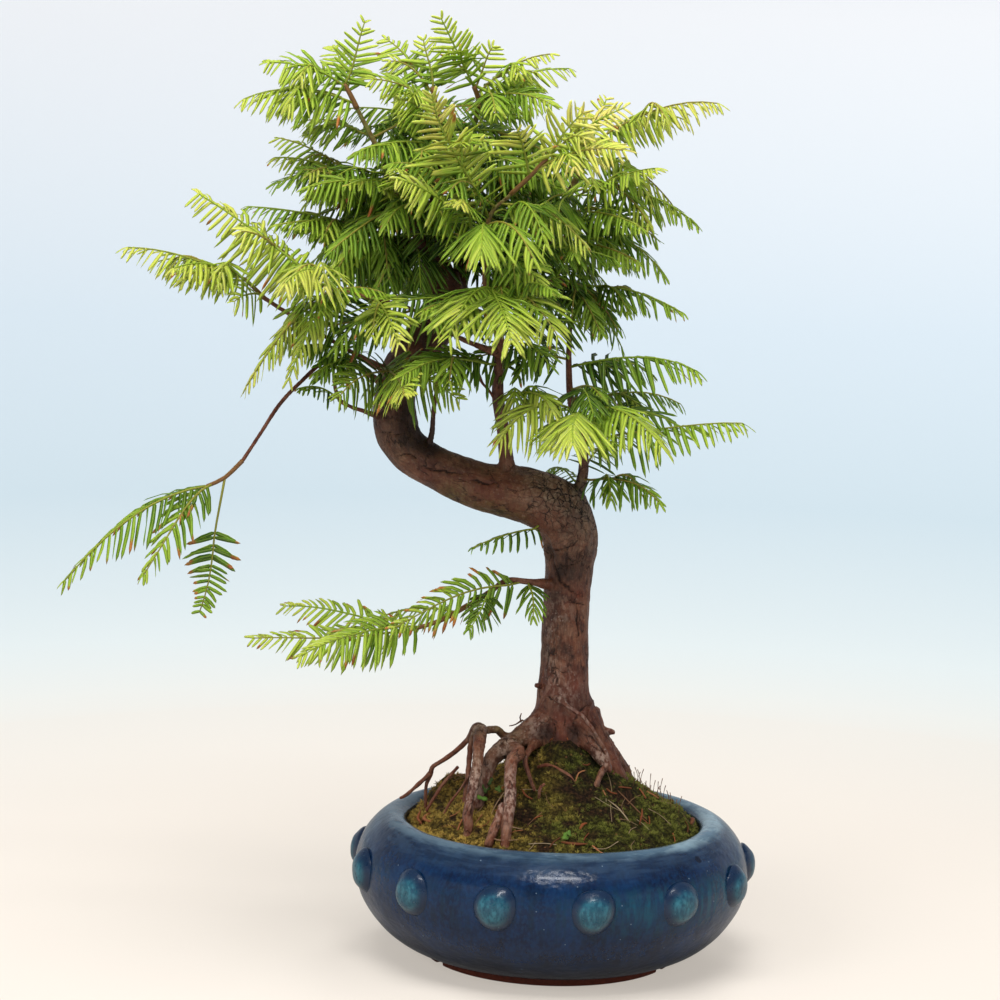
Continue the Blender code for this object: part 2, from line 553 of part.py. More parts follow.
def stud(index, collection):
    """A low round dome that stands out of the belly of the pot."""
    angle = STUD_FIRST_ANGLE + index * math.tau / STUD_COUNT
    bm = bmesh.new()
    bmesh.ops.create_uvsphere(bm, u_segments=STUD_SIDES, v_segments=STUD_BANDS, radius=1.0)
    for vertex in bm.verts:
        vertex.co.z = max(vertex.co.z, -STUD_SUNK)
    radius, height = STUD_CENTRE
    place = (Matrix.Translation(round_place(angle, radius, height)) @ Matrix.Rotation(angle, 4, "Z")
             @ Matrix.Rotation(math.pi / 2, 4, "Y")
             @ Matrix.Diagonal((STUD_RADIUS * MM, STUD_RADIUS * MM, STUD_DEPTH * MM, 1.0)))
    bmesh.ops.transform(bm, matrix=place, verts=bm.verts)
    mesh = bpy.data.meshes.new("stud")
    bm.to_mesh(mesh)
    bm.free()
    return mesh_object("stud_%02d" % index, mesh, collection)


def drain_angles():
    """Directions of the drain holes from the pot's middle, evenly round it with one at the back."""
    return [math.tau * (i / DRAIN_HOLES + 0.25) for i in range(DRAIN_HOLES)]


def build_pot(collection):
    """The turned pot with its studs, drain holes and the grooves that lead the water out."""
    pot = turned("pot", POT_INSIDE + POT_OUTSIDE, collection)
    pot = fuse(pot, [stud(i, collection) for i in range(STUD_COUNT)], collection)
    cutters = cutter_collection("pot_cutters")
    length = POT_OUTSIDE[-2][0] - DRAIN_HOLE_AT + GROOVE_PAST_FOOT
    for i, angle in enumerate(drain_angles()):
        hole_at = round_place(angle, DRAIN_HOLE_AT, 0.0)
        cylinder("drain_hole_%d" % i, DRAIN_HOLE_RADIUS, DRAIN_CUTTER_HEIGHT, hole_at, cutters)
        middle = round_place(angle, DRAIN_HOLE_AT + length / 2, 0.0)
        box("drain_groove_%d" % i, (length, GROOVE_WIDTH, GROOVE_DEPTH * 2),
            Matrix.Translation(middle) @ Matrix.Rotation(angle, 4, "Z"), cutters)
    hide_cutters(cutters)
    return cut(pot, cutters)


def build_screen(collection):
    """A thin plastic screen on the floor of the pot, open over each drain hole."""
    floor = POT_INSIDE[0][1]
    middle = floor + SCREEN_GAP + SCREEN_THICKNESS / 2
    centre = Vector((0, 0, middle * MM))
    screen = cylinder("drain_screen", SCREEN_RADIUS, SCREEN_THICKNESS, centre, collection)
    cutters = cutter_collection("screen_cutters")
    for i, angle in enumerate(drain_angles()):
        for j in range(4):
            offset = Vector((j % 2 - 0.5, j // 2 - 0.5, 0.0)) * SCREEN_HOLE_PITCH * MM
            place = (Matrix.Rotation(angle, 4, "Z")
                     @ Matrix.Translation(Vector((DRAIN_HOLE_AT * MM, 0, middle * MM)) + offset))
            size = (SCREEN_HOLE, SCREEN_HOLE, SCREEN_CUTTER_HEIGHT)
            box("screen_hole_%d_%d" % (i, j), size, place, cutters)
    hide_cutters(cutters)
    return cut(screen, cutters)


def soil_height(x, y):
    """The mound, its humps and the fall to the level of the edge, in millimetres."""
    away = math.hypot(x - MOUND_AT[0], y - MOUND_AT[1])
    height = MOUND_HEIGHT * math.exp(-(away / MOUND_SPREAD) ** 2)
    for hump_x, hump_y, hump, spread in HUMPS:
        height += hump * math.exp(-((x - hump_x) ** 2 + (y - hump_y) ** 2) / spread ** 2)
    out = math.hypot(x, y)
    edge = POT_INSIDE[-1][0]
    fall = min(1.0, max(0.0, (edge - out) / SOIL_FALL))
    return SOIL_EDGE + height * fall


def past_end(path, length):
    """A path made longer at its last point, straight on."""
    step = path[-1] - path[-2]
    end = path[-1] + step * length / np.linalg.norm(step[:3])
    end[3] = max(end[3], HOLE_LEAST_RADIUS)
    return np.vstack([path, end])


def build_soil(wood_paths, collection):
    """The filling of the pot: the inside of the wall, taken in a little, under a mound."""
    wall = np.array(POT_INSIDE[1:], float)
    across = np.gradient(wall, axis=0)
    inwards = np.stack([-across[:, 1], across[:, 0]], axis=1) / np.linalg.norm(across, axis=1)[:, None]
    wall = wall + inwards * CLEARANCE
    wall = [(r, z) for r, z in wall if SOIL_BOTTOM + SOIL_WALL_GAP < z < SOIL_EDGE - SOIL_WALL_GAP]
    top = [(r, SOIL_EDGE) for r in [0] + SOIL_RINGS[::-1] + [SOIL_RIM]]
    outline = top + wall[::-1] + [(SOIL_BOTTOM_RADIUS, SOIL_BOTTOM), (0, SOIL_BOTTOM)]
    soil = turned("soil_mound", outline, collection)
    for vertex in soil.data.vertices:
        if vertex.co.z > (SOIL_EDGE - SOIL_LEVEL_SLACK) * MM:
            vertex.co.z = soil_height(vertex.co.x / MM, vertex.co.y / MM) * MM
    cutters = cutter_collection("soil_cutters")
    for name, (path, resolution) in wood_paths.items():
        if path[:, 2].min() < HOLES_BELOW:
            downwards = path[::-1] if name == "trunk" else path
            longer = past_end(downwards, HOLE_PAST_END)
            tube("hole_" + name, longer, resolution, cutters, grow=CLEARANCE)
    hide_cutters(cutters)
    return cut(soil, cutters)


def wood_path_table():
    """The smooth path of the trunk and of every branch and root, with its roundness."""
    paths = {"trunk": (smooth_path(TRUNK, TRUNK_PITCH), TRUNK_RESOLUTION)}
    for name, points in {**BRANCHES, **ROOTS}.items():
        thin = points[0][3] < TWIG_RADIUS
        paths[name] = (smooth_path(points, BRANCH_PITCH), TWIG_RESOLUTION if thin else LIMB_RESOLUTION)
    return paths


def build_wood(paths, collection):
    """Trunk, branches and roots, grown as one piece."""
    stems = [tube(name, path, resolution, collection) for name, (path, resolution) in paths.items()]
    wood = fuse(stems[0], stems[1:], collection)
    wood.name = "trunk"
    return wood


def bow(curve, t):
    """Points of the quadratic curve through a start and an end, drawn towards its knee."""
    start, knee, end = curve
    return (1 - t) ** 2 * start + 2 * t * (1 - t) * knee + t * t * end


def frond_frame(axis, facing):
    """Directions along, across and up from the frond at each of its stations."""
    along = np.gradient(axis, axis=0)
    along /= np.linalg.norm(along, axis=1)[:, None]
    chord = axis[-1] - axis[0]
    across = np.cross(chord, np.array(FACINGS[facing], float))
    across = across - (along @ across)[:, None] * along
    across /= np.linalg.norm(across, axis=1)[:, None]
    return along, across, np.cross(across, along)


def needle_reach(share):
    """A needle's length as a share of the longest: full before the frond's middle and short at its tip."""
    swell = math.sin(math.pi * min(1.0, REACH_START + REACH_RATE * share))
    fall = max(0.0, share - REACH_FALL_FROM) / (1.0 - REACH_FALL_FROM)
    return (REACH_LEAST + (1.0 - REACH_LEAST) * swell) * (1.0 - REACH_FALL * fall)


def frond_mesh(frond, shares, grow=0.0, needles=True):
    """A slim three-sided twig whose side faces are poked and drawn out to the needles' tips."""
    axis, hang, length, jitter = frond["axis"], frond["hang"], frond["length"], frond["jitter"]
    along, across, upward = frond_frame(axis, frond["facing"])
    count = len(axis)
    taper = np.linspace(1.0, CORE_AT_TIP, count)
    taper[0] = CORE_IN_SHOOT if frond["sunk"] else CORE_AT_BARK
    half = (CORE_WIDTH / 2 * taper + grow)[:, None]
    deep = (CORE_DEPTH / 2 * taper + grow)[:, None]
    left = axis + across * half + upward * deep
    right = axis - across * half + upward * deep
    keel = axis - upward * deep
    bm = bmesh.new()
    rows = [[bm.verts.new(p * MM) for p in trio] for trio in zip(left, right, keel)]
    bm.faces.new(rows[0])
    tip_face = bm.faces.new(rows[-1][::-1])
    left_faces = []
    right_faces = []
    for (l0, r0, k0), (l1, r1, k1) in zip(rows, rows[1:]):
        bm.faces.new((l0, l1, r1, r0))
        left_faces.append(bm.faces.new((k0, k1, l1, l0)))
        right_faces.append(bm.faces.new((r0, r1, k1, k0)))
    tips = {}
    if needles:
        for side, faces in ((1.0, left_faces), (-1.0, right_faces)):
            for i in range(1, count - 1):
                j = (i - 1) * 2 + (side < 0)
                if shares[j] < NEEDLE_DROPPED:
                    continue
                share = (i + 0.5) / (count - 1)
                middle = (axis[i] + axis[i + 1]) / 2
                sweep = math.radians(SWEEP_AT_BASE + (SWEEP_AT_TIP - SWEEP_AT_BASE) * share)
                reach = length * needle_reach(share)
                aim = side * across[i] * math.cos(sweep) + along[i] * math.sin(sweep)
                aim = aim - np.array([0.0, 0.0, hang]) + jitter[j]
                aim /= np.linalg.norm(aim)
                tip = middle + aim * (reach * shares[j] + grow * 2)
                made = bmesh.ops.poke(bm, faces=[faces[i]])
                made["verts"][0].co = tip * MM
                tips[made["verts"][0]] = j
        made = bmesh.ops.poke(bm, faces=[tip_face])
        made["verts"][0].co = (axis[-1] + along[-1] * length * END_NEEDLE) * MM
    bmesh.ops.triangulate(bm, faces=bm.faces)
    bm.normal_update()
    return bm, tips


def frond_plan(curve, rise, facing, hang, length, sunk, rng):
    """One frond: its axis in steps of a needle pitch, and how its needles stand."""
    start, knee, end = curve
    span = np.linalg.norm(end - start)
    count = max(LEAST_STEPS, round(span / NEEDLE_PITCH)) + 1
    jitter = np.array([[rng.uniform(-JITTER, JITTER) for _ in range(3)] for _ in range(2 * count)])
    t = np.linspace(0.0, 1.0, count)[:, None]
    return {"curve": curve, "axis": bow(curve, t), "rise": rise, "facing": facing, "hang": hang,
            "length": length, "sunk": sunk, "jitter": jitter}


def main_frond(row, paths, shoot, rng):
    """A frond from its row: it springs from the shoot's middle or just off a branch's bark."""
    parent, share, tip, rise, facing, hang, length = row
    sunk = parent == "shoot"
    point, radius, direction = at_share(shoot if sunk else paths[parent][0], share)
    towards = Vector(tip) - point
    outward = (towards - direction * towards.dot(direction)).normalized()
    start = np.array(point if sunk else point + outward * (radius + SEAT_GAP))
    end = np.array(tip, float)
    knee = (start + end) / 2 + np.array([0.0, 0.0, 2.0 * rise])
    if not sunk:
        knee += np.array(outward) * np.linalg.norm(end - start) * SPRING
    return frond_plan((start, knee, end), rise, facing, hang, length, sunk, rng)


def side_frond(main, place, turn, rng):
    """A shorter frond that starts on the main one's twig and turns away from it about the vertical."""
    start = bow(main["curve"], np.array([FAN_START + FAN_STEP * place]))
    reach = (main["curve"][2] - start) * FAN_REACH
    c, s = math.cos(math.radians(turn)), math.sin(math.radians(turn))
    end = start + np.array([reach[0] * c - reach[1] * s, reach[0] * s + reach[1] * c, reach[2] - FAN_DROP])
    knee = (start + end) / 2 + np.array([0.0, 0.0, 2.0 * main["rise"]])
    return frond_plan((start, knee, end), main["rise"], main["facing"], main["hang"],
                      main["length"] * FAN_NEEDLE, True, rng)


def tree_of(bm):
    bm.faces.index_update()
    bm.faces.ensure_lookup_table()
    return BVHTree.FromBMesh(bm)


def object_tree(made):
    bm = bmesh.new()
    bm.from_mesh(made.data)
    tree = tree_of(bm)
    bm.free()
    return tree


def clear_needles(frond, obstacles):
    """Shorten each needle that would cross another piece, until none does."""
    shares = np.ones(2 * len(frond["axis"]))
    for _ in range(NEEDLE_ROUNDS):
        bm, tips = frond_mesh(frond, shares, grow=GUARD)
        tree = tree_of(bm)
        hit = set()
        for obstacle in obstacles:
            for face_index, _other in tree.overlap(obstacle):
                for vertex in bm.faces[face_index].verts:
                    if vertex in tips:
                        hit.add(tips[vertex])
        bm.free()
        if not hit:
            break
        for j in hit:
            shares[j] *= NEEDLE_CUT
    return shares


def bm_object(name, bm, collection):
    mesh = bpy.data.meshes.new(name)
    bm.to_mesh(mesh)
    bm.free()
    return mesh_object(name, mesh, collection)


def build_sprays(paths, solids, collection):
    """Every spray: its green shoot where it has one, and its fronds, joined as one piece."""
    rng = random.Random(SEED)
    plans = {}
    cores = {}
    for name, spray in SPRAYS.items():
        shoot = None
        if "shoot" in spray:
            shoot = smooth_path(spray["shoot"], BRANCH_PITCH)
            step = shoot[1] - shoot[0]
            shoot[0] = shoot[0] + step / np.linalg.norm(step[:3]) * SEAT_GAP
        fronds = []
        for i, row in enumerate(spray["fronds"]):
            fronds.append(main_frond(row, paths, shoot, rng))
            for place, turn in enumerate(spray.get("fans", {}).get(i, ())):
                fronds.append(side_frond(fronds[-1 - place], place, turn, rng))
        plans[name] = (shoot, fronds)
        cores[name] = []
        for frond in fronds:
            bm, _tips = frond_mesh(frond, [], grow=GUARD, needles=False)
            cores[name].append(tree_of(bm))
            bm.free()
    trees = [object_tree(solid) for solid in solids]
    made = []
    for name, (shoot, fronds) in plans.items():
        others = [tree for other, group in cores.items() if other != name for tree in group]
        pieces = []
        own = []
        for i, frond in enumerate(fronds):
            shares = clear_needles(frond, trees + others + own)
            bm, _tips = frond_mesh(frond, shares)
            own.append(tree_of(bm))
            pieces.append(bm_object("%s_%d" % (name, i), bm, collection))
        if shoot is not None:
            pieces.insert(0, tube(name + "_shoot", shoot, SHOOT_RESOLUTION, collection))
        spray = fuse(pieces[0], pieces[1:], collection)
        spray.name = name
        trees.append(object_tree(spray))
        made.append(spray)
    return made


def main():
    for made in list(bpy.data.objects):
        bpy.data.objects.remove(made, do_unlink=True)
    collection = bpy.data.collections.new("dawn_redwood_bonsai")
    bpy.context.scene.collection.children.link(collection)
    paths = wood_path_table()
    pot = build_pot(collection)
    screen = build_screen(collection)
    wood = build_wood(paths, collection)
    soil = build_soil(paths, collection)
    sprays = build_sprays(paths, [pot, soil, wood], collection)
    pot.data.materials.append(principled("blue_glaze", (0.010, 0.035, 0.090), 0.15))
    screen.data.materials.append(principled("black_plastic", (0.02, 0.02, 0.02), 0.5))
    wood.data.materials.append(principled("red_brown_bark", (0.110, 0.048, 0.030), 0.85))
    soil.data.materials.append(principled("mossy_soil", (0.060, 0.055, 0.012), 0.95))
    for spray in sprays:
        spray.data.materials.append(principled(spray.name + "_green", (0.130, 0.230, 0.030), 0.6))


main()
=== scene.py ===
# Dawn redwood bonsai in a blue-glazed pot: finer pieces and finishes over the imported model.
# Lengths in the tables are millimetres, and mm turns them into metres where a mesh is made.
import json
import math

import bpy
import numpy as np
from mathutils import Matrix, Vector

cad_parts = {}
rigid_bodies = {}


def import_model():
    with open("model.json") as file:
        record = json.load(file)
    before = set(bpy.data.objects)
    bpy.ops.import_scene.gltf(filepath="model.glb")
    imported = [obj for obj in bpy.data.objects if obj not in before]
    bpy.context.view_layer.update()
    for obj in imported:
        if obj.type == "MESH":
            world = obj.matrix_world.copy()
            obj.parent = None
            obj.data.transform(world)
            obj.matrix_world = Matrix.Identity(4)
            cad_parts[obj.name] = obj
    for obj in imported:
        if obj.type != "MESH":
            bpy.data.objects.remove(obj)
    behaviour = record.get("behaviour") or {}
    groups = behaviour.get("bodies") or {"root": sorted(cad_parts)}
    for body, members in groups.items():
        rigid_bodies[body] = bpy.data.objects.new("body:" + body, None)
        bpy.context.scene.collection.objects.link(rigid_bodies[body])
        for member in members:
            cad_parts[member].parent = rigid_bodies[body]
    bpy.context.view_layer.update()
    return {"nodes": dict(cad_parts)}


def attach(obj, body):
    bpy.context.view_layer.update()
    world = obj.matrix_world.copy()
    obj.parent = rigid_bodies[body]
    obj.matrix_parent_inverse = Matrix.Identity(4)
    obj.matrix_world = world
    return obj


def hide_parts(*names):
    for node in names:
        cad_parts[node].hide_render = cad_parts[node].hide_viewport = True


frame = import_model()
scene = bpy.context.scene
mm = 0.001
full = math.tau
noTriangles = np.zeros((0, 3), int)
rng = np.random.default_rng(11)

# camera and light
cameraView = {"place": (-30.5, -1422.3, 405.3), "down": 7.4, "roll": 1.8, "lens": 108.0}
lamps = {  # place, width, depth, strength and whether glossy things mirror it, all aimed at the tree
    "softTop": ((-200, -450, 1900), 1300, 1300, 32, False),
    "softLeft": ((-1500, -1500, 1200), 1000, 1000, 16, False),
    "softRight": ((1500, -1000, 900), 1000, 1000, 7, False),
    "softBack": ((500, 1500, 1500), 900, 900, 9, False),
    "window": ((100, -900, 1500), 640, 130, 5.5, True),
}


def srgb(red, green, blue):
    # display colour 0-255 to linear light: ((c + 0.055) / 1.055) ^ 2.4
    return tuple(((c / 255 + 0.055) / 1.055) ** 2.4 for c in (red, green, blue)) + (1.0,)


def addObject(name, data):
    made = bpy.data.objects.new(name, data)
    scene.collection.objects.link(made)
    return made


def addCamera():
    # look tilts down from +Y; the roll turns right and up about it
    down, roll = math.radians(cameraView["down"]), math.radians(cameraView["roll"])
    right = Vector((1, 0, 0))
    up = Vector((0, math.sin(down), math.cos(down)))
    look = Vector((0, math.cos(down), -math.sin(down)))
    x = right * math.cos(roll) + up * math.sin(roll)
    y = up * math.cos(roll) - right * math.sin(roll)
    data = bpy.data.cameras.new("camera")
    data.lens = cameraView["lens"]
    data.sensor_width = 36.0
    data.clip_start, data.clip_end = 0.05, 50.0
    made = addObject("camera", data)
    matrix = Matrix((x, y, -look)).transposed().to_4x4()
    matrix.translation = Vector(cameraView["place"]) * mm
    made.matrix_world = matrix
    scene.camera = made


def addLamps():
    # each lamp is turned so that its -Z looks at the tree's middle
    target = Vector((-30, 0, 220)) * mm
    for name, (place, width, depth, power, mirrored) in lamps.items():
        data = bpy.data.lights.new(name, "AREA")
        data.shape = "RECTANGLE" if mirrored else "ELLIPSE"
        data.size = width * mm
        data.size_y = depth * mm
        data.energy = power
        made = addObject(name, data)
        made.location = Vector(place) * mm
        made.rotation_euler = (target - made.location).to_track_quat("-Z", "Y").to_euler()
        made.visible_glossy = mirrored


# meshes from whole arrays
def normalised(vectors):
    return vectors / np.maximum(np.linalg.norm(vectors, axis=-1, keepdims=True), 1e-9)


def smoothPath(points, pitch):
    # Catmull-Rom: 0.5 (2b + (c-a)u + (2a-5b+4c-d)u^2 + (3b-a-3c+d)u^3), with the ends mirrored
    given = np.array(points, float)
    ends = np.vstack([2 * given[0] - given[1], given, 2 * given[-1] - given[-2]])
    spans = np.linalg.norm(np.diff(given[:, :3], axis=0), axis=1)
    pieces = np.maximum(1, np.round(spans / pitch)).astype(int)
    row = np.repeat(np.arange(len(pieces)), pieces)
    u = ((np.arange(len(row)) - np.repeat(np.cumsum(pieces) - pieces, pieces)) / pieces[row])[:, None]
    a, b, c, d = ends[row], ends[row + 1], ends[row + 2], ends[row + 3]
    path = 0.5 * (2 * b + (c - a) * u + (2 * a - 5 * b + 4 * c - d) * u ** 2
                  + (3 * b - a - 3 * c + d) * u ** 3)
    return np.vstack([path, given[-1]])


def runAlong(points):
    # length of the path up to each of its points
    return np.concatenate([[0.0], np.cumsum(np.linalg.norm(np.diff(points[:, :3], axis=0), axis=1))])


def frameAlong(points):
    # tangent; side = tangent x the direction in which the path runs least; up = side x tangent
    tangent = normalised(np.gradient(points, axis=0))
    least = np.linalg.eigh(tangent.T @ tangent)[1][:, 0]
    least = least * np.sign(least[np.argmax(np.abs(least))])
    side = normalised(np.cross(tangent, least))
    return tangent, side, np.cross(side, tangent)


def roundFaces(here):
    # a grid's point numbers turned on by one column, and the four corners of each of its faces
    turn = np.roll(here, -1, axis=1)
    return turn, np.stack([here[:-1], here[1:], turn[1:], turn[:-1]], axis=-1).reshape(-1, 4)


def turned(outline, columns):
    # each radius and height of the outline at even angles: (r cos a, r sin a, z)
    angle, radius = np.arange(columns) * full / columns, outline[:, :1]
    return np.stack([radius * np.cos(angle), radius * np.sin(angle),
                     np.repeat(outline[:, 1:2], columns, axis=1)], axis=-1)


def turnedPath(points, pitch):
    # a smooth outline through radii and heights
    return smoothPath([(radius, height, 0) for radius, height in points], pitch)


def skin(grid, firstPole, lastPole):
    # rows run from pole to pole and columns go round, so the skin is closed
    rows, columns = grid.shape[:2]
    here = np.arange(rows * columns).reshape(rows, columns)
    turn, quads = roundFaces(here)
    first = np.stack([np.full(columns, rows * columns), here[0], turn[0]], axis=-1)
    last = np.stack([here[-1], np.full(columns, rows * columns + 1), turn[-1]], axis=-1)
    return np.vstack([grid.reshape(-1, 3), firstPole, lastPole]), quads, np.vstack([first, last])


def loft(path, sides, ripple=0.0, phase=0.0):
    # centre + radius (cos a side + sin a up), the radius rippled by 1 + ripple sin(3a + phase + s/9)
    centre, radius = path[:, :3], path[:, 3]
    tangent, side, up = frameAlong(centre)
    angle = np.arange(sides) * full / sides
    swell = 1 + ripple * np.sin(3 * angle[None, :] + phase + runAlong(path)[:, None] / 9)
    ring = np.cos(angle)[None, :, None] * side[:, None, :] + np.sin(angle)[None, :, None] * up[:, None, :]
    grid = centre[:, None, :] + ring * (radius[:, None] * swell)[:, :, None]
    return skin(grid, centre[0] - tangent[0] * radius[0] * 0.4, centre[-1] + tangent[-1] * radius[-1] * 0.6)


def joined(parts):
    # one set of points and faces from several, each part's corner numbers moved on by what lies before it
    start = np.cumsum([0] + [len(part[0]) for part in parts[:-1]])
    points = np.vstack([part[0] for part in parts])
    quads = np.vstack([part[1] + s for part, s in zip(parts, start)])
    triangles = np.vstack([part[2] + s for part, s in zip(parts, start)])
    return points, quads, triangles


def newMesh(name, points, quads, triangles):
    # points in mm; the corners of all faces in one row, the quads first
    mesh = bpy.data.meshes.new(name)
    mesh.vertices.add(len(points))
    mesh.vertices.foreach_set("co", (points * mm).astype(np.float32).ravel())
    corners = np.concatenate([quads.ravel(), triangles.ravel()]).astype(np.int32)
    sizes = np.concatenate([np.full(len(quads), 4), np.full(len(triangles), 3)])
    mesh.loops.add(len(corners))
    mesh.loops.foreach_set("vertex_index", corners)
    mesh.polygons.add(len(sizes))
    mesh.polygons.foreach_set("loop_start", (np.cumsum(sizes) - sizes).astype(np.int32))
    mesh.update(calc_edges=True)
    mesh.validate()
    mesh.shade_smooth()
    return mesh


def setColour(mesh, name, values):
    # four numbers at each point: a missing fourth is one
    whole = np.ones((len(values), 4), np.float32)
    whole[:, :values.shape[1]] = values
    mesh.attributes.new(name, "FLOAT_COLOR", "POINT").data.foreach_set("color", whole.ravel())


def setUv(mesh, uv):
    corner = readAll(mesh.loops, "vertex_index", 1, np.int32)[:, 0]
    mesh.uv_layers.new(name="UVMap").data.foreach_set("uv", uv[corner].astype(np.float32).ravel())


def addPiece(name, mesh, material, replaced=()):
    # a piece rides on the root body and takes the place of these solids
    mesh.materials.append(material)
    made = addObject(name, mesh)
    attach(made, "root")
    if replaced:
        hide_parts(*replaced)
    return made


def evaluated(made):
    # the mesh that an object's modifiers make; the object itself goes
    bpy.context.view_layer.update()
    graph = bpy.context.evaluated_depsgraph_get()
    mesh = bpy.data.meshes.new_from_object(made.evaluated_get(graph))
    bpy.data.objects.remove(made)
    return mesh


def readAll(data, key, width, kind=np.float32):
    # one row of "width" numbers for each item
    flat = np.empty(len(data) * width, kind)
    data.foreach_get(key, flat)
    return flat.reshape(-1, width)


def pointsOf(mesh):
    return readAll(mesh.vertices, "co", 3).astype(float) / mm


def normalsOf(mesh):
    return readAll(mesh.vertex_normals, "vector", 3).astype(float)


def movePoints(mesh, points):
    mesh.vertices.foreach_set("co", (points * mm).astype(np.float32).ravel())
    mesh.update()


def valueNoise(points, seed):
    # hashed values 0 to 1 at the eight corners of a point's cell, blended by 3t^2 - 2t^3
    cell = np.floor(points).astype(np.int64)
    part = points - cell
    part = part * part * (3 - 2 * part)
    total = np.zeros(len(points))
    for corner in range(8):
        step = np.array([corner & 1, corner >> 1 & 1, corner >> 2 & 1])
        x, y, z = (cell + step).T
        code = (x * 374761393 + y * 668265263 + z * 1274126177 + seed * 974711) & 0xFFFFFFFF
        code = ((code ^ (code >> 13)) * 1103515245) & 0xFFFFFFFF
        share = np.prod(np.where(step, part, 1 - part), axis=1)
        total += share * ((code ^ (code >> 16)) & 0xFFFF) / 65535
    return total


def layeredNoise(points, seed, layers=3):
    # noise at 1, 2, 4 ... times the pitch with 1, 1/2, 1/4 ... of the height, centred on 0
    total, height = np.zeros(len(points)), 1.0
    for layer in range(layers):
        total += (valueNoise(points * 2.03 ** layer + 17.3 * layer, seed + layer) - 0.5) * height
        height *= 0.5
    return total


def spots(points, table):
    # sum of height exp(-(distance / radius)^2) over a table of (x, y, z, radius, height)
    total = np.zeros(len(points))
    for x, y, z, radius, height in table:
        total += height * np.exp(-np.sum((points - np.array([x, y, z], float)) ** 2, axis=1) / radius ** 2)
    return total


def shareOf(points, table):
    # the sum kept between 0 and 1
    return spots(points, table).clip(0, 1)


# shader nodes: "shading" holds the tree and the shader in hand
shading = {}


def link(source, target):
    shading["tree"].links.new(source, target)


def addNode(kind, inputs=None, **settings):
    # a node in the tree in hand; an input is linked if it is a socket, or else set
    made = shading["tree"].nodes.new("ShaderNode" + kind)
    for key, value in settings.items():
        setattr(made, key, value)
    for key, value in (inputs or {}).items():
        if isinstance(value, bpy.types.NodeSocket):
            link(value, made.inputs[key])
        else:
            made.inputs[key].default_value = value
    return made


def maths(operation, a, b=0.0, c=0.0, clamp=False):
    return addNode("Math", {0: a, 1: b, 2: c}, operation=operation, use_clamp=clamp).outputs[0]


def times(a, b):
    return maths("MULTIPLY", a, b)


def scaled(value, factor, extra, clamp=False):
    # value * factor + extra
    return maths("MULTIPLY_ADD", value, factor, extra, clamp)


def span(value, low, high):
    # smooth step from 0 at low to 1 at high
    return addNode("MapRange", {0: value, 1: low, 2: high}, interpolation_type="SMOOTHSTEP").outputs[0]


def mixed(share, a, b):
    # a (1 - share) + b share; three numbers are a display colour
    a, b = (srgb(*value) if isinstance(value, tuple) else value for value in (a, b))
    return addNode("Mix", {0: share, 6: a, 7: b}, data_type="RGBA", clamp_factor=True).outputs[2]


def layered(colour, *layers):
    # each layer is a mask and the colour that it lays over what is below
    for mask, tint in layers:
        colour = mixed(mask, colour, tint)
    return colour


def ramp(value, stops):
    # display colours at places from 0 to 1, blended between them
    made = addNode("ValToRGB", {0: value})
    line = made.color_ramp.elements
    while len(line) < len(stops):
        line.new(0.5)
    for point, (place, colour) in zip(line, stops):
        point.position, point.color = place, srgb(*colour)
    return made.outputs[0]


def newGroup(name, inputs, outputs):
    # a group of nodes: a number for each input but Vector, and for each output but Colour
    tree = bpy.data.node_groups.new(name, "ShaderNodeTree")
    shading["tree"] = tree
    for label, value in inputs.items():
        kind = "NodeSocketVector" if label == "Vector" else "NodeSocketFloat"
        tree.interface.new_socket(label, in_out="INPUT", socket_type=kind).default_value = value
    for label in outputs:
        kind = "NodeSocketColor" if label == "Colour" else "NodeSocketFloat"
        tree.interface.new_socket(label, in_out="OUTPUT", socket_type=kind)
    return tree, tree.nodes.new("NodeGroupInput").outputs, tree.nodes.new("NodeGroupOutput").inputs


def streakGroup():
    # noise on a vector stretched by Across and Along, then a smooth step about the middle
    inputs = {"Vector": (0, 0, 0), "Across": 1.0, "Along": 1.0, "Detail": 4.0, "Low": 0.4, "High": 0.6}
    tree, given, out = newGroup("streaks", inputs, ["Mask", "Raw"])
    scale = addNode("CombineXYZ", {0: given["Across"], 1: given["Across"], 2: given["Along"]})
    moved = addNode("VectorMath", {0: given["Vector"], 1: scale.outputs[0]}, operation="MULTIPLY")
    noise = addNode("TexNoise", {"Vector": moved.outputs[0], "Scale": 1.0, "Detail": given["Detail"],
                                 "Roughness": 0.6})
    link(span(noise.outputs[0], given["Low"], given["High"]), out["Mask"])
    link(noise.outputs[0], out["Raw"])
    return tree


def speckGroup():
    # round dots of a cell pattern, kept in the cells whose own random number is under Share
    inputs = {"Vector": (0, 0, 0), "Scale": 1.0, "Size": 0.2, "Share": 0.5}
    tree, given, out = newGroup("specks", inputs, ["Mask"])
    cells = addNode("TexVoronoi", {"Vector": given["Vector"], "Scale": given["Scale"]})
    edge = times(given["Size"], 0.6)
    dot = span(cells.outputs["Distance"], given["Size"], edge)
    draw = addNode("SeparateColor", {0: cells.outputs["Color"]})
    kept = maths("LESS_THAN", draw.outputs[0], given["Share"])
    link(times(dot, kept), out["Mask"])
    return tree


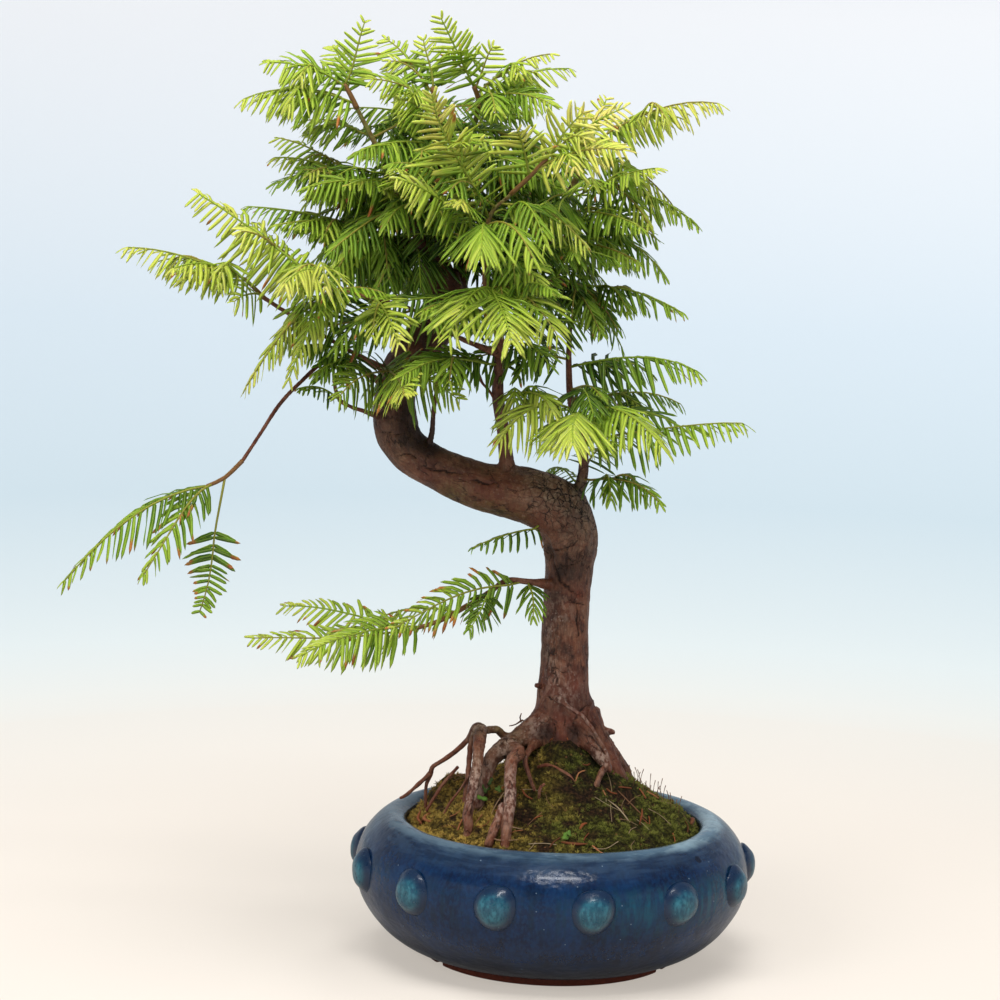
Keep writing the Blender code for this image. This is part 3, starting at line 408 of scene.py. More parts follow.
def crackGroup():
    # lines between the cells of a cell pattern whose places are moved by Warp times a noise
    inputs = {"Vector": (0, 0, 0), "Scale": 0.2, "Width": 0.08, "Warp": 3.0}
    tree, given, out = newGroup("hair_cracks", inputs, ["Mask"])
    vector, scale = given["Vector"], given["Scale"]
    drift = addNode("TexNoise", {"Vector": vector, "Scale": scale, "Detail": 4.0})
    push = addNode("VectorMath", {0: drift.outputs["Color"], "Scale": given["Warp"]}, operation="SCALE")
    moved = addNode("VectorMath", {0: vector, 1: push.outputs[0]}, operation="ADD")
    cells = addNode("TexVoronoi", {"Vector": moved.outputs[0], "Scale": scale}, feature="DISTANCE_TO_EDGE")
    inner = times(given["Width"], 0.3)
    link(span(cells.outputs["Distance"], given["Width"], inner), out["Mask"])
    return tree


def mossGroup():
    # from dark to light green by Lush, browner by Warm, paler along the leaf by Light
    tree, given, out = newGroup("moss_colour", {"Warm": 0.5, "Lush": 0.5, "Light": 0.0}, ["Colour"])
    warm = mixed(given["Lush"], (56, 36, 12), (196, 158, 76))
    cool = mixed(given["Lush"], (16, 15, 4), (98, 104, 38))
    colour = mixed(given["Warm"], cool, warm)
    link(mixed(given["Light"], colour, mixed(0.5, colour, (182, 176, 84))), out["Colour"])
    return tree


streakTree = streakGroup()
speckTree = speckGroup()
crackTree = crackGroup()
mossTree = mossGroup()


def withGroup(group, *values):
    return addNode("Group", dict(enumerate(values)), node_tree=group).outputs


def streaks(vector, across, along, detail, low, high):
    return withGroup(streakTree, vector, across, along, detail, low, high)


def specks(vector, scale, size, share):
    return withGroup(speckTree, vector, scale, size, share)["Mask"]


def cracked(vector, scale, width, warp):
    return withGroup(crackTree, vector, scale, width, warp)["Mask"]


def mossColour(ground, light):
    # warmth and lushness are the second and third numbers of "ground"
    return withGroup(mossTree, ground[1], ground[2], light)["Colour"]


def newMaterial(name, **values):
    # a Principled material with these values, and the millimetre version of its Object coordinates
    material = bpy.data.materials.new(name)
    material.use_nodes = True
    shading["tree"] = material.node_tree
    shading["shader"] = material.node_tree.nodes["Principled BSDF"]
    for key, value in values.items():
        shading["shader"].inputs[key.replace("_", " ")].default_value = value
    place = addNode("TexCoord").outputs["Object"]
    return material, addNode("VectorMath", {0: place, "Scale": 1 / mm}, operation="SCALE").outputs[0]


def feed(**sockets):
    # links to the shader in hand; an underscore stands for a blank
    for key, value in sockets.items():
        link(value, shading["shader"].inputs[key.replace("_", " ")])


def bumpOf(height, distance, strength):
    made = addNode("Bump", {"Strength": strength, "Distance": distance * mm, "Height": height})
    feed(Normal=made.outputs[0])


def colourAt(name):
    # the three numbers of a colour attribute and its fourth
    made = addNode("Attribute", attribute_name=name)
    return addNode("SeparateColor", {0: made.outputs["Color"]}).outputs, made.outputs["Alpha"]


# wood: trunk, branches and roots (x, y, z, radius), the roots and twigs as slim as in the photo
limbs = {
    "trunk": [(6, -1, 86, 11), (6, -1, 97, 14), (5, -1, 107, 17), (4, 0, 115, 14.6), (3, 0, 126, 12.8),
        (3, 2, 148, 11.4), (3, 4, 173, 11.1), (4, 5, 191, 11.8), (3, 5, 205, 13.2), (-3, 3, 216, 14.2),
        (-14, 0, 222, 13.8), (-28, -3, 225, 12.4), (-44, -5, 229, 11.2), (-59, -6, 235, 10.2),
        (-72, -6, 242, 10.4), (-80, -5, 252, 10.5), (-82, -2, 265, 9.8), (-80, 2, 278, 9.9),
        (-72, 6, 291, 10.3), (-64, 9, 303, 10.2), (-59, 11, 315, 9.2), (-60, 12, 326, 7)],
    "leader_mid": [(-59, 11, 315, 5.5), (-64, 8, 335, 4.2), (-66, 5, 355, 3.6), (-64, 4, 377, 2.8),
        (-65, 2, 398, 2)],
    "leader_back": [(-55, 18, 312, 5), (-52, 24, 338, 3.8), (-55, 26, 362, 3), (-51, 22, 386, 2.3),
        (-47, 14, 404, 1.6)],
    "leader_left": [(-65, 4, 317, 4), (-70, 0, 338, 3.2), (-80, -4, 360, 2.5), (-89, -6, 378, 2),
        (-97, -8, 393, 1.7), (-103, -10, 404, 1.5)],
    "leader_right": [(-54, 16, 311, 4.5), (-34, 26, 322, 3.6), (-20, 28, 333, 3.1), (-10, 24, 347, 2.7),
        (-3, 18, 364, 2.3), (3, 12, 379, 1.9)],
    "riser_arm": [(-27, -3, 228, 4.6), (-28, -7, 240, 3.7), (-30, -10, 255, 3.1), (-33, -14, 272, 2.8),
        (-33, -19, 287, 2.5), (-33, -24, 299, 2.2), (-39, -29, 318, 1.8), (-41, -32, 339, 1.5),
        (-39, -33, 357, 1.2), (-30, -34, 367, 1.1)],
    "riser_inner": [(-68, -7, 242, 2.5), (-64, -12, 251, 1.5), (-63, -16, 265, 1.1), (-61, -20, 281, 1),
        (-61, -24, 300, 0.9)],
    "riser_right": [(4, 5, 217, 3.6), (8, 4, 229, 2.7), (9, 2, 240, 2.4), (7, 0, 253, 2.1),
        (2, -3, 268, 1.7), (0, -5, 287, 1.5), (0, -6, 306, 1.1)],
    "limb_left": [(-79, -1, 277, 3), (-93, -16, 286, 1.4), (-105, -26, 293, 1.05), (-118, -32, 301, 1),
        (-131, -36, 309, 1), (-142, -39, 316, 1.1)],
    "limb_drooping": [(-80, -3, 269, 2.8), (-95, -16, 281, 1.3), (-105, -22, 287, 1.1),
        (-115, -28, 286, 1.05), (-125, -33, 277, 1), (-134, -38, 267, 1), (-142, -42, 254, 0.9),
        (-150, -45, 241, 0.9)],
    "twig_left": [(-84, -5, 258, 1.8), (-97, -16, 263, 1), (-104, -20, 266, 0.9)],
    "twig_cross": [(-33, -22, 292, 1.9), (-49, -33, 299, 1.2), (-62, -38, 306, 1.1), (-76, -41, 314, 1),
        (-89, -43, 317, 0.9)],
    "limb_low": [(0, 1, 180, 2.6), (-15, -10, 183, 1.6), (-26, -15, 184, 1.5), (-34, -19, 179, 1.3),
        (-44, -23, 173, 1.1)],
    "twig_upper_left": [(-80, -4, 360, 1.8), (-92, -2, 366, 1.4)],
    "twig_mid_left": [(-70, 0, 338, 2), (-84, -2, 343, 1.5)],
    "twig_mid_right": [(-20, 28, 333, 2), (-8, 22, 328, 1.5)],
    "twig_back_left": [(-65, 6, 346, 2.2), (-76, 35, 354, 1.5)],
    "twig_back_right": [(-53, 26, 350, 2.2), (-39, 52, 359, 1.5)],
    "twig_back_low": [(-62, 14, 306, 2.4), (-68, 40, 313, 1.6)],
    "stub_right": [(14, -2, 116, 3), (19, -3, 113, 2.3), (22, -3.5, 111.3, 1.6), (26.4, -4, 110.2, 1.7)],
    "buttress_left": [(-4, -3, 113, 9), (-9, -8, 112, 7), (-17, -12, 107, 5.6), (-24, -16, 103.6, 4.7),
        (-29.5, -21, 100, 4), (-32, -26, 95, 3.5), (-34, -28, 87, 3), (-36, -29, 78, 2.6)],
    "prop_front": [(-22, -18, 104, 4), (-18, -27, 104, 3.4), (-20.9, -37, 101.5, 3.1),
        (-21.7, -44, 95.2, 2.9), (-21.4, -51.5, 85.4, 3), (-22.5, -56, 76, 2.9), (-23, -59, 68.7, 2.6),
        (-24, -60, 62, 2.4)],
    "prop_left": [(-36, -12, 111, 3), (-36.4, -20, 108.5, 3.2), (-36.9, -28, 104.5, 3),
        (-37.2, -35, 97.9, 2.8), (-38.8, -40, 88.6, 2.7), (-41, -44, 76.9, 2.6), (-40.5, -46, 72, 2.3),
        (-41, -47, 66, 2)],
    "arch_high": [(-9, -5, 112, 3.4), (-17, -6, 108, 2.5), (-24, -6, 106.8, 2.1), (-28.5, -6.5, 110, 1.9),
        (-34.6, -8, 110, 1.9), (-38.5, -10.5, 111.6, 2.2), (-42.3, -9, 105.3, 1.35),
        (-46.9, -8, 100.2, 1.25), (-51, -7, 96.6, 1.25), (-55, -6.5, 93.6, 1.05),
        (-58.8, -5.5, 90.6, 1.1), (-60, -4, 86.5, 1.3), (-61.6, -4, 82, 1), (-62, -4, 76, 0.95),
        (-61.6, -4, 70, 0.9)],
    "tip_left": [(-60, -4, 87, 1.2), (-64, -6, 83.5, 1), (-71, -9, 77.4, 0.9), (-74, -10.5, 76, 0.7)],
    "prop_inner": [(-39, -13, 109, 2), (-40.7, -15, 105, 1.5), (-41.5, -17, 92, 1.3),
        (-42.1, -20, 86, 1.2), (-43, -22, 74, 1.2)],
    "buttress_right": [(13, -1, 116, 9), (18, -3, 108, 7), (21.9, -4, 103, 5.6), (27.3, -7, 94.5, 4.4),
        (33, -10, 85, 3.9), (37.2, -12, 78.2, 3.4), (40.4, -15, 71, 3)],
    "fork_right": [(8, -9, 115, 5), (12, -13, 111, 4.2), (17.8, -17, 104.6, 3.4), (22.8, -19.5, 99, 2.8),
        (25, -20.5, 96, 2.2)],
    "front_small": [(-9, -12, 106, 3), (-12, -20, 104.5, 1.8), (-14.6, -25, 100, 1.3),
        (-12.9, -29, 94, 1.1), (-9.7, -33, 87, 0.9)],
    "foot_small": [(-24, -49, 83, 2), (-25.3, -51, 80.9, 2.2), (-27, -54, 76, 2.3), (-29.5, -58, 70, 2.2),
        (-31, -60, 66, 2)],
    "back_left": [(-2, 8, 113, 9), (-9, 22, 101, 6.4), (-15, 34, 92, 5), (-21, 45, 81, 4.2),
        (-25, 53, 70, 3.6)],
    "back_right": [(10, 8, 113, 9), (20, 20, 101, 6.4), (28, 31, 91, 5), (35, 40, 80, 4.2),
        (40, 47, 69, 3.6)]}
wood = {
    "pitch": 1.5, "thickest": 2.45, "voxel": 0.82, "sides": 40, "thinSides": 10, "ripple": 0.035,
    "filletShare": 0.85, "filletLeast": 1.0, "filletMost": 5.0, "smoothRounds": 3,
    "fissureDepth": 0.42, "grainDepth": 0.2, "swellDepth": 0.6, "wrinkleDepth": 0.3, "wrinklePitch": 2.9,
    "plateDepth": 0.35, "ridgeDepth": 0.5, "calm": 0.28, "slimming": 0.28,
}
# small roots, stubs and bare twigs that only the photo's close view shows
thinWood = {
    "root_aerial": [(-1.5, -12.5, 127.8, 1.2), (1.7, -14.8, 127.3, 1.9), (3.6, -15.6, 125.8, 1.5),
        (5.3, -16.4, 124.4, 1.1), (9, -18.2, 122.2, 0.95), (12.7, -19.4, 119.6, 0.9),
        (16, -19.6, 116, 0.85), (18.1, -19.4, 112.6, 0.85), (21.5, -18.6, 107.2, 0.95),
        (24.4, -20.2, 101, 0.85), (25.5, -21.5, 97, 0.75)],
    "stub_pale": [(-8, -5, 131.5, 1.4), (-9.8, -6.3, 132.2, 1.3), (-10.6, -6.8, 132.4, 1.1)],
    "fork_end": [(24.6, -20.4, 97.6, 2), (22.4, -23, 95.4, 1.7), (20.6, -25.6, 92, 1.5),
        (18.8, -28, 86.5, 1.35)],
    "twig_dead": [(-43, -18, 284, 0.9), (-41, -18.6, 279, 0.7), (-37, -16.5, 274, 0.6),
        (-34.5, -14, 270, 0.5)],
    "twig_bare": [(-24.3, 0, 325.4, 0.8), (-17, 0, 326.5, 0.7), (-10, 0, 326, 0.8), (-4, 0, 327, 0.5)],
    "root_tan": [(-8.6, -23.4, 96, 0.9), (-4.4, -25, 97.4, 0.9), (-1.1, -26, 97.2, 0.8),
        (5.2, -28, 94.2, 0.8), (9.4, -30, 90.2, 0.6), (10.4, -31, 88, 0.5)],
    "root_loop": [(-7.8, -36, 84, 0.7), (-7.6, -37, 87.5, 0.8), (-6.6, -36.4, 90, 0.8),
        (-5.4, -35, 90.6, 0.6)],
    "root_rim": [(-46.6, -10, 92.1, 0.8), (-52.6, -12, 84.9, 0.8), (-57, -13.4, 78.5, 0.8),
        (-61, -14.5, 71, 0.8)],
    "root_thread": [(-40, -22, 93, 0.6), (-45, -22, 84, 0.5), (-50, -23, 77, 0.6), (-53, -24, 71, 0.5)],
    "root_brown": [(24, -12, 95, 1.1), (25.6, -17, 88, 0.9), (27.5, -20, 82, 0.8), (28.4, -23, 77, 0.7)],
    "root_orange": [(27.4, -14, 92, 0.9), (31.5, -19, 84, 0.8), (37, -23, 76, 0.7), (40, -26, 70, 0.6)],
    "twig_hair": [(-15, -6, 113, 0.5), (-16.6, -5, 114.6, 0.4), (-19.6, -4, 112.4, 0.35),
        (-22.6, -4, 111.6, 0.3)],
    "spur_hair": [(-17.1, -4, 113.6, 0.4), (-17.6, -4, 116, 0.35), (-17, -4, 118, 0.25)]}
# spots are x, y, z, radius and height: collars, knots and hollows
bumps = [
    (-27, -7, 235.5, 3.6, 1.2), (-27, -8, 238.5, 2.2, 0.7), (4, 5, 220, 5, 1), (-79, -6, 270, 5, 0.9),
    (-6.3, -2, 195, 3, -2), (-5, -14, 111.5, 3.6, -2), (8.8, -16, 113.5, 3.4, -2.2),
    (3.7, -17, 109.4, 2.6, 1.4), (14, -12, 112, 4, 0.8), (-3, -14, 117, 4, 0.8), (10, -8, 160, 6, 0.5),
    (-3, -6, 176, 6, 0.6), (-9, -4, 181, 4, 0.8), (-60, -14, 234, 6, 0.5), (-84, -8, 250, 6, 0.7),
    (-88, 0, 262, 6, 0.8), (14, 0, 205, 7, 0.8), (-84, -4, 285, 5, 1.1), (13.5, -2, 193, 3, 0.8),
    (-11, -5, 131, 3, 0.8), (1.7, -12, 127, 3.2, 0.9)]
# long cracks and folds: their points, half width and depth
cracks = [
    ([(-68.5, -16.2, 237.8), (-63.5, -16.2, 236.4), (-57.5, -16, 235.6), (-52.5, -15.8, 234.5),
      (-47.1, -15.2, 234.8)], 0.75, 1),
    ([(-47, -16, 232.4), (-40.5, -15.5, 231.1), (-35.5, -15.2, 230.2), (-30.6, -14, 231.7)], 0.7, 0.9),
    ([(-79.6, -14.8, 241.7), (-74.6, -16.2, 243.1), (-68.6, -16.2, 240.3)], 0.6, 0.6),
    ([(-88, -12, 253.7), (-82.8, -15, 252.7), (-77.9, -15.5, 252.4)], 0.5, 0.5),
    ([(-9.3, -13, 220.7), (0.8, -10.2, 219.6), (4.5, -9.2, 215.6), (4.1, -9, 210.5)], 0.5, 0.45),
    ([(-12, -13.6, 222.5), (-16.2, -13.8, 219.5), (-20, -10.5, 214)], 0.55, 0.6),
    ([(-6.3, -1.2, 195.3), (-3.1, -4.2, 189.3), (-0.4, -5.8, 183.5), (3.7, -6.8, 179.7), (7.9, -5.8, 176.6),
      (9.5, -4.8, 174.5)], 0.75, 0.9),
    ([(-7, -2, 197), (-1.4, -5.8, 198.4), (4.5, -7.5, 200.4), (9.4, -6.5, 205.2)], 0.6, 0.6),
    ([(-3.2, -4.2, 191.3), (3.8, -6.8, 190.9), (9.8, -5.2, 193.9)], 0.5, 0.5),
    ([(7, -6.2, 176.6), (8.2, -6, 169), (8, -6.2, 162), (8.7, -6.2, 157), (5, -7, 156)], 0.62, 0.7),
    ([(3, -7, 178), (4.4, -7, 174), (8, -6, 173), (13, -4, 171)], 0.6, 0.6),
    ([(-5.6, -6.5, 141.6), (-1.5, -10, 138.3), (0.2, -11.2, 133.4), (3.8, -12, 131.6)], 0.55, 0.6),
    ([(-5.3, -5.5, 149.6), (-4.7, -7, 144.8), (-6, -6.2, 140.5)], 0.5, 0.5),
    ([(14.9, -6, 124), (9.7, -12.8, 119.9), (7.8, -16.8, 113.3)], 0.7, 0.9),
    ([(-6.1, -8.8, 128.1), (-0.9, -12.2, 125.8)], 0.6, 0.6),
    ([(-3, -15, 120), (-2, -16.5, 115), (-3, -17, 110)], 0.6, 0.6),
    ([(3, -14.5, 121), (4, -17, 115)], 0.6, 0.5), ([(-86, 3, 262), (-87, 5, 272), (-86, 6, 280)], 0.6, 0.5),
    ([(15, 4, 150), (14.6, 6, 165), (15, 5, 178)], 0.6, 0.6),
    ([(2, 15, 140), (4, 16, 158), (3, 16.4, 176)], 0.6, 0.7), ([(-9, 8, 150), (-8.4, 9, 166)], 0.6, 0.6),
    ([(-20, 9, 231), (-34, 7, 234), (-48, 5, 238)], 0.7, 0.8), ([(-70, 5, 250), (-72, 6, 262)], 0.6, 0.6)]
wrinkles = [
    (-9, -2, 207, 15, 1), (-4, -6, 196, 9, 0.8), (-66, -6, 250, 13, 0.8), (-70, 2, 283, 9, 0.6),
    (-10, -12, 113, 8, 1.6), (-20, -15, 106, 7, 1.2), (20, -15, 103, 7, 0.8)]
plates = [
    (-8, -10, 227, 11, 1), (6, -2, 226, 12, 0.9), (12, 0, 214, 14, 0.6), (-86, -6, 246, 12, 0.5),
    (-20, 6, 234, 16, 0.7), (-60, 6, 240, 18, 0.6), (4, 14, 200, 20, 0.7)]
algae = [
    (-53, -11, 223, 8, 1), (-34, -11, 213.5, 10, 1), (-22, -9, 210, 7, 0.7), (-76, -12, 246, 6, 0.35),
    (-50, -3, 246, 14, 0.5), (-16, -1, 237, 9, 0.55), (-36, -4, 240, 9, 0.45), (4, 0, 231, 8, 0.4),
    (-22, -17, 106, 9, 0.6), (-38, -14, 113, 8, 0.6), (-38, -36, 96, 10, 0.4), (-8, -4, 150, 8, 0.3),
    (-28, -7, 111, 5, 0.8), (20, -18, 101, 6, 0.4), (-14, -8, 111, 5, 0.5)]
redness = [
    (2, -12, 118, 16, 0.45), (-44, -14, 224, 22, 0.4), (-16, -10, 214, 16, 0.35), (6, -8, 122, 15, 0.3),
    (7, -10, 134, 9, 0.5), (8, -6, 178, 5, 0.5), (-40, -15, 225, 9, 0.5), (-26, -12, 218, 10, 0.45),
    (-8, -9, 214, 9, 0.6), (-28, -8, 250, 15, 0.9), (-58, 8, 312, 20, 0.6), (6, 2, 245, 26, 0.6),
    (-66, -14, 233, 7, 0.6), (26, -10, 92, 12, 0.6), (-20, -44, 94, 9, 0.6), (-38, -40, 92, 8, 0.5),
    (3, -16, 118, 5, 0.4)]
rust = [
    (3.7, -17.4, 109.4, 2.4, 0.9), (1, -17, 117, 2.6, 0.35), (6, -16.5, 118, 2.4, 0.3),
    (9, -5.6, 177, 1.6, 0.6), (9.5, -10, 133, 2.6, 0.3)]
# painted shade: dark patches in the hollows at the foot, inside the bends and under the crown
paintedShade = [
    (4, -15, 122, 13, 0.3), (-14, -14, 112, 8, 0.3), (18, -14, 106, 8, 0.3), (-30, -18, 104, 8, 0.3),
    (-4.8, -14.5, 110.6, 4.6, 0.9), (8.6, -16, 111.6, 4.8, 0.85), (3, -17, 105, 6, 0.9),
    (-74, -14, 262, 10, 1), (-70, -13, 252, 9, 1), (-64, -12, 247, 8, 0.95), (-68, -4, 272, 9, 0.9),
    (-1, -8, 150, 5, 0.25), (8, -7, 190, 9, 0.5), (1, -7, 186, 7, 0.55), (4, -8, 212, 8, 0.3),
    (-40, -15, 232, 7, 0.25), (-86, -10, 250, 8, 0.35), (12, -9, 126, 6, 0.4), (-6, -9, 122, 5, 0.35),
    (-76, -13, 251, 4, 0.5), (-6, -2, 197, 4.2, 0.9), (-1, -5, 188, 3.6, 0.4), (4, -6, 194, 5, 0.3),
    (-62, 4, 300, 16, 0.55), (-62, 8, 320, 22, 0.5), (0, 14, 108, 14, 0.5), (10, 2, 226, 5, 0.5),
    (-38, -18, 109, 4.5, 0.7), (-26, -24, 97, 5, 0.6), (30, -10, 86, 9, 0.5), (35, -14, 76, 9, 0.6),
    (-17, -10, 101, 7, 0.7), (-26, -9, 233, 3, 0.35)]
paleness = [
    (-1, -6.5, 168, 6, 0.5), (-5, -5, 158, 5, 0.4), (-4.7, -6.5, 147, 5, 0.35), (6, -12, 128, 9, 0.3),
    (-21, -50, 88, 14, 0.8), (-39, -38, 92, 12, 0.7), (-24, -20, 103, 8, 0.7), (-10, -12, 113, 5, 0.9),
    (-38, -11, 112, 6, 0.7), (22, -19, 100, 6, 0.9), (1.7, -15, 127.3, 2.4, 1), (7, -17.6, 123, 2.6, 0.7),
    (13, -20, 119, 3, 0.7), (18, -20, 112, 3, 0.6), (-12, -7, 132.6, 2, 1), (19, -25.8, 88, 2.5, 1),
    (26, -4, 110, 3, 0.7), (-2, -10, 136, 8, 0.3)]


def nearestLimbs(points, paths):
    # distance to a limb's skin = distance to its axis - radius; keeps the two least and the nearest's place
    count = len(points)
    first, second = np.full(count, 1e3), np.full(count, 1e3)
    girth, other = np.zeros(count), np.zeros(count)
    grain = np.zeros((count, 3))
    for number, path in enumerate(paths):
        centre, radius = path[:, :3], path[:, 3]
        tangent, side, up = frameAlong(centre)
        run = runAlong(path)
        pitch = run[-1] / (len(run) - 1)
        reach = radius.max() + 9
        inside = np.all((points > centre.min(0) - reach) & (points < centre.max(0) + reach), axis=1)
        for chunk in np.array_split(np.flatnonzero(inside), max(1, inside.sum() // 15000)):
            here = points[chunk]
            apart = (here ** 2).sum(1)[:, None] + (centre ** 2).sum(1)[None, :] - 2 * here @ centre.T
            row = apart.argmin(1)
            beyond = ((here - centre[row]) * tangent[row]).sum(1).clip(-pitch / 2, pitch / 2)
            offset = here - centre[row] - tangent[row] * beyond[:, None]
            place = run[row] + beyond
            thick = np.interp(place, run, radius)
            away = np.linalg.norm(offset, axis=1) - thick
            nearer = away < first[chunk]
            second[chunk] = np.where(nearer, first[chunk], np.minimum(second[chunk], away))
            other[chunk] = np.where(nearer, girth[chunk],
                                    np.where(away <= second[chunk], thick, other[chunk]))
            first[chunk] = np.where(nearer, away, first[chunk])
            girth[chunk] = np.where(nearer, thick, girth[chunk])
            aim = normalised(offset)
            coordinates = np.stack([(aim * side[row]).sum(1) * thick, (aim * up[row]).sum(1) * thick,
                                    place + 37.0 * number], axis=1)
            grain[chunk] = np.where(nearer[:, None], coordinates, grain[chunk])
    return first, second, girth, other, grain


def filleted(first, second, girth, other):
    # smooth union: d1 - max(k - (d2 - d1), 0)^2 / 4k, with k from the thinner of the two limbs
    k = (np.minimum(girth, other) * wood["filletShare"]).clip(wood["filletLeast"], wood["filletMost"])
    return first - np.maximum(k - (second - first), 0) ** 2 / (4 * k)


def crackAt(points):
    # depth e^-(distance to the crack / half width)^2, summed over the cracks, and the greatest share of any.
    # Each crack is first drawn onto the skin: its points go to the mean of the nearest points of the skin
    depth, share = np.zeros(len(points)), np.zeros(len(points))
    for line, half, deep in cracks:
        path = smoothPath(line, 0.6)
        path = path + layeredNoise(path / 2.2, 43)[:, None] * np.array([0.9, 0.0, 0.9])
        near = np.flatnonzero(np.all((points > path.min(0) - 4) & (points < path.max(0) + 4), axis=1))
        apart = np.linalg.norm(points[near][:, None] - path[None], axis=2)
        weight = np.exp(-((apart - apart.min(0)) / 0.5) ** 2)
        path = weight.T @ points[near] / weight.sum(0)[:, None]
        apart = np.linalg.norm(points[near][:, None] - path[None], axis=2)
        taper = np.sin(math.pi * (0.12 + 0.76 * apart.argmin(1) / (len(path) - 1)))
        close = np.exp(-(apart.min(1) / half) ** 2) * taper
        depth[near] += close * deep
        share[near] = np.maximum(share[near], close)
    return depth, share


def ruggedness(points, girth):
    # satin on the trunk and the arm, rougher below 128 mm and above 275 mm, and less so on thin limbs
    low = ((128 - points[:, 2]) / 22).clip(0, 1)
    high = ((points[:, 2] - 275) / 30).clip(0, 1) * 0.8
    return np.maximum(wood["calm"], np.maximum(low, high)) * (girth / 4).clip(0.3, 1.0)


def barkRelief(points, grain, girth):
    # fissures, slow swellings, cross wrinkles, plates, cracks and knots, all as heights along the normal
    strength = ruggedness(points, girth)
    warp = layeredNoise(points / 6, 3)[:, None] * np.array([2.0, 2.0, 0.0])
    fine = (grain * np.array([0.62, 0.62, 0.1])) + warp
    ridge = 1 - np.abs(2 * valueNoise(fine, 21) - 1)
    fissure = -(ridge ** 5) * wood["fissureDepth"]
    fibres = layeredNoise(grain * np.array([1.1, 1.1, 0.2]), 31) * wood["grainDepth"] * 2
    swell = layeredNoise(grain * np.array([0.14, 0.14, 0.07]), 41) * wood["swellDepth"] * 2 * (girth / 10)
    wave = np.sin(grain[:, 2] * full / wood["wrinklePitch"] + 7 * layeredNoise(points / 8, 51))
    wrinkle = -np.abs(wave) ** 4 * wood["wrinkleDepth"] * spots(points, wrinkles).clip(0, 1.5)
    cells = valueNoise(grain * np.array([0.4, 0.4, 0.3]) + warp * 0.5, 61)
    plate = -np.exp(-((cells - 0.5) / 0.04) ** 2) * wood["plateDepth"] * shareOf(points, plates)
    ripple = layeredNoise(points / 3.2, 67) * wood["ridgeDepth"] * strength
    grown = (fissure + fibres) * strength + ripple + swell + wrinkle + plate
    return grown + spots(points, bumps) - crackAt(points)[0]


def slimmed(path):
    # the green upper twigs are thinner than the solids' by a share that grows from 330 to 390 mm high
    share = ((path[:, 2] - 330) / 60).clip(0, 1)
    return np.column_stack([path[:, :3], path[:, 3] * (1 - wood["slimming"] * share)])


def buildWood():
    # thick limbs: tubes made one skin by voxels, blended where they meet, with the bark's relief. Thin ones:
    # tubes that wander a little. Both together are one mesh
    paths = {name: slimmed(smoothPath(points, wood["pitch"])) for name, points in limbs.items()}
    thick = {name: path for name, path in paths.items() if limbs[name][0][3] >= wood["thickest"]}
    thin = {name: path for name, path in paths.items() if name not in thick}
    thin.update({name: smoothPath(points, wood["pitch"]) for name, points in thinWood.items()})
    rough = newMesh("wood_rough", *joined([loft(path, wood["sides"]) for path in thick.values()]))
    made = addObject("wood_rough", rough)
    remesh = made.modifiers.new("one_skin", "REMESH")
    remesh.mode = "VOXEL"
    remesh.voxel_size = wood["voxel"] * mm
    soften = made.modifiers.new("soften", "SMOOTH")
    soften.iterations = wood["smoothRounds"]
    mesh = evaluated(made)
    points = pointsOf(mesh)
    first, second, girth, other, grain = nearestLimbs(points, list(thick.values()))
    points = points - normalsOf(mesh) * filleted(first, second, girth, other)[:, None].clip(-1.5, 1.5)
    movePoints(mesh, points)
    points = points + normalsOf(mesh) * barkRelief(points, grain, girth)[:, None]
    movePoints(mesh, points)
    print("wood: one skin of", len(mesh.polygons), "faces")
    corner = readAll(mesh.loops, "vertex_index", 1, np.int32)
    parts = [(points, corner.reshape(-1, 4), noTriangles)]
    grains, girths = [grain], [girth]
    for number, (name, path) in enumerate(thin.items()):
        wander = layeredNoise(path[:, :3] / 6, 71 + number)[:, None] * np.array([0.5, 0.5, 0.3])
        bent = path.copy()
        bent[1:-1, :3] += wander[1:-1]
        bent[:, 3] *= 1 + 0.35 * layeredNoise(path[:, :3] / 2.5, 81)
        sides, run = wood["thinSides"], runAlong(path)
        part = loft(bent, sides, wood["ripple"], number)
        run = np.append(np.repeat(run, sides), [0, run[-1]])
        offset = part[0] - np.vstack([np.repeat(bent[:, :3], sides, axis=0), bent[0, :3], bent[-1, :3]])
        grains.append(np.stack([offset[:, 0], offset[:, 1], run + 53.0 * number], axis=1))
        girths.append(np.append(np.repeat(bent[:, 3], sides), [1.0, 1.0]))
        parts.append(part)
    points, quads, triangles = joined(parts)
    grain, girth = np.vstack(grains), np.concatenate(girths)
    mesh = newMesh("wood_bark", points, quads, triangles)
    layer = mesh.attributes.new("grain", "FLOAT_VECTOR", "POINT")
    layer.data.foreach_set("vector", grain.astype(np.float32).ravel())
    young = ((points[:, 2] - 318) / 50).clip(0, 1) * ((2.6 - girth) / 1.2).clip(0, 1)
    red = (spots(points, redness) + 0.7 * np.exp(-girth / 2.0)).clip(0, 1)
    # algae, painted shade, redness and pale flakes
    setColour(mesh, "weatherAndShade", np.stack([
        shareOf(points, algae), shareOf(points, paintedShade), red, shareOf(points, paleness)], axis=1))
    setColour(mesh, "marks", np.stack([
        crackAt(points)[1], shareOf(points, plates), young, shareOf(points, rust)], axis=1))
    addPiece("wood_bark", mesh, barkMaterial(), ("trunk",))
    print("wood: %d branches and roots, %d points" % (len(paths) + len(thinWood), len(points)))


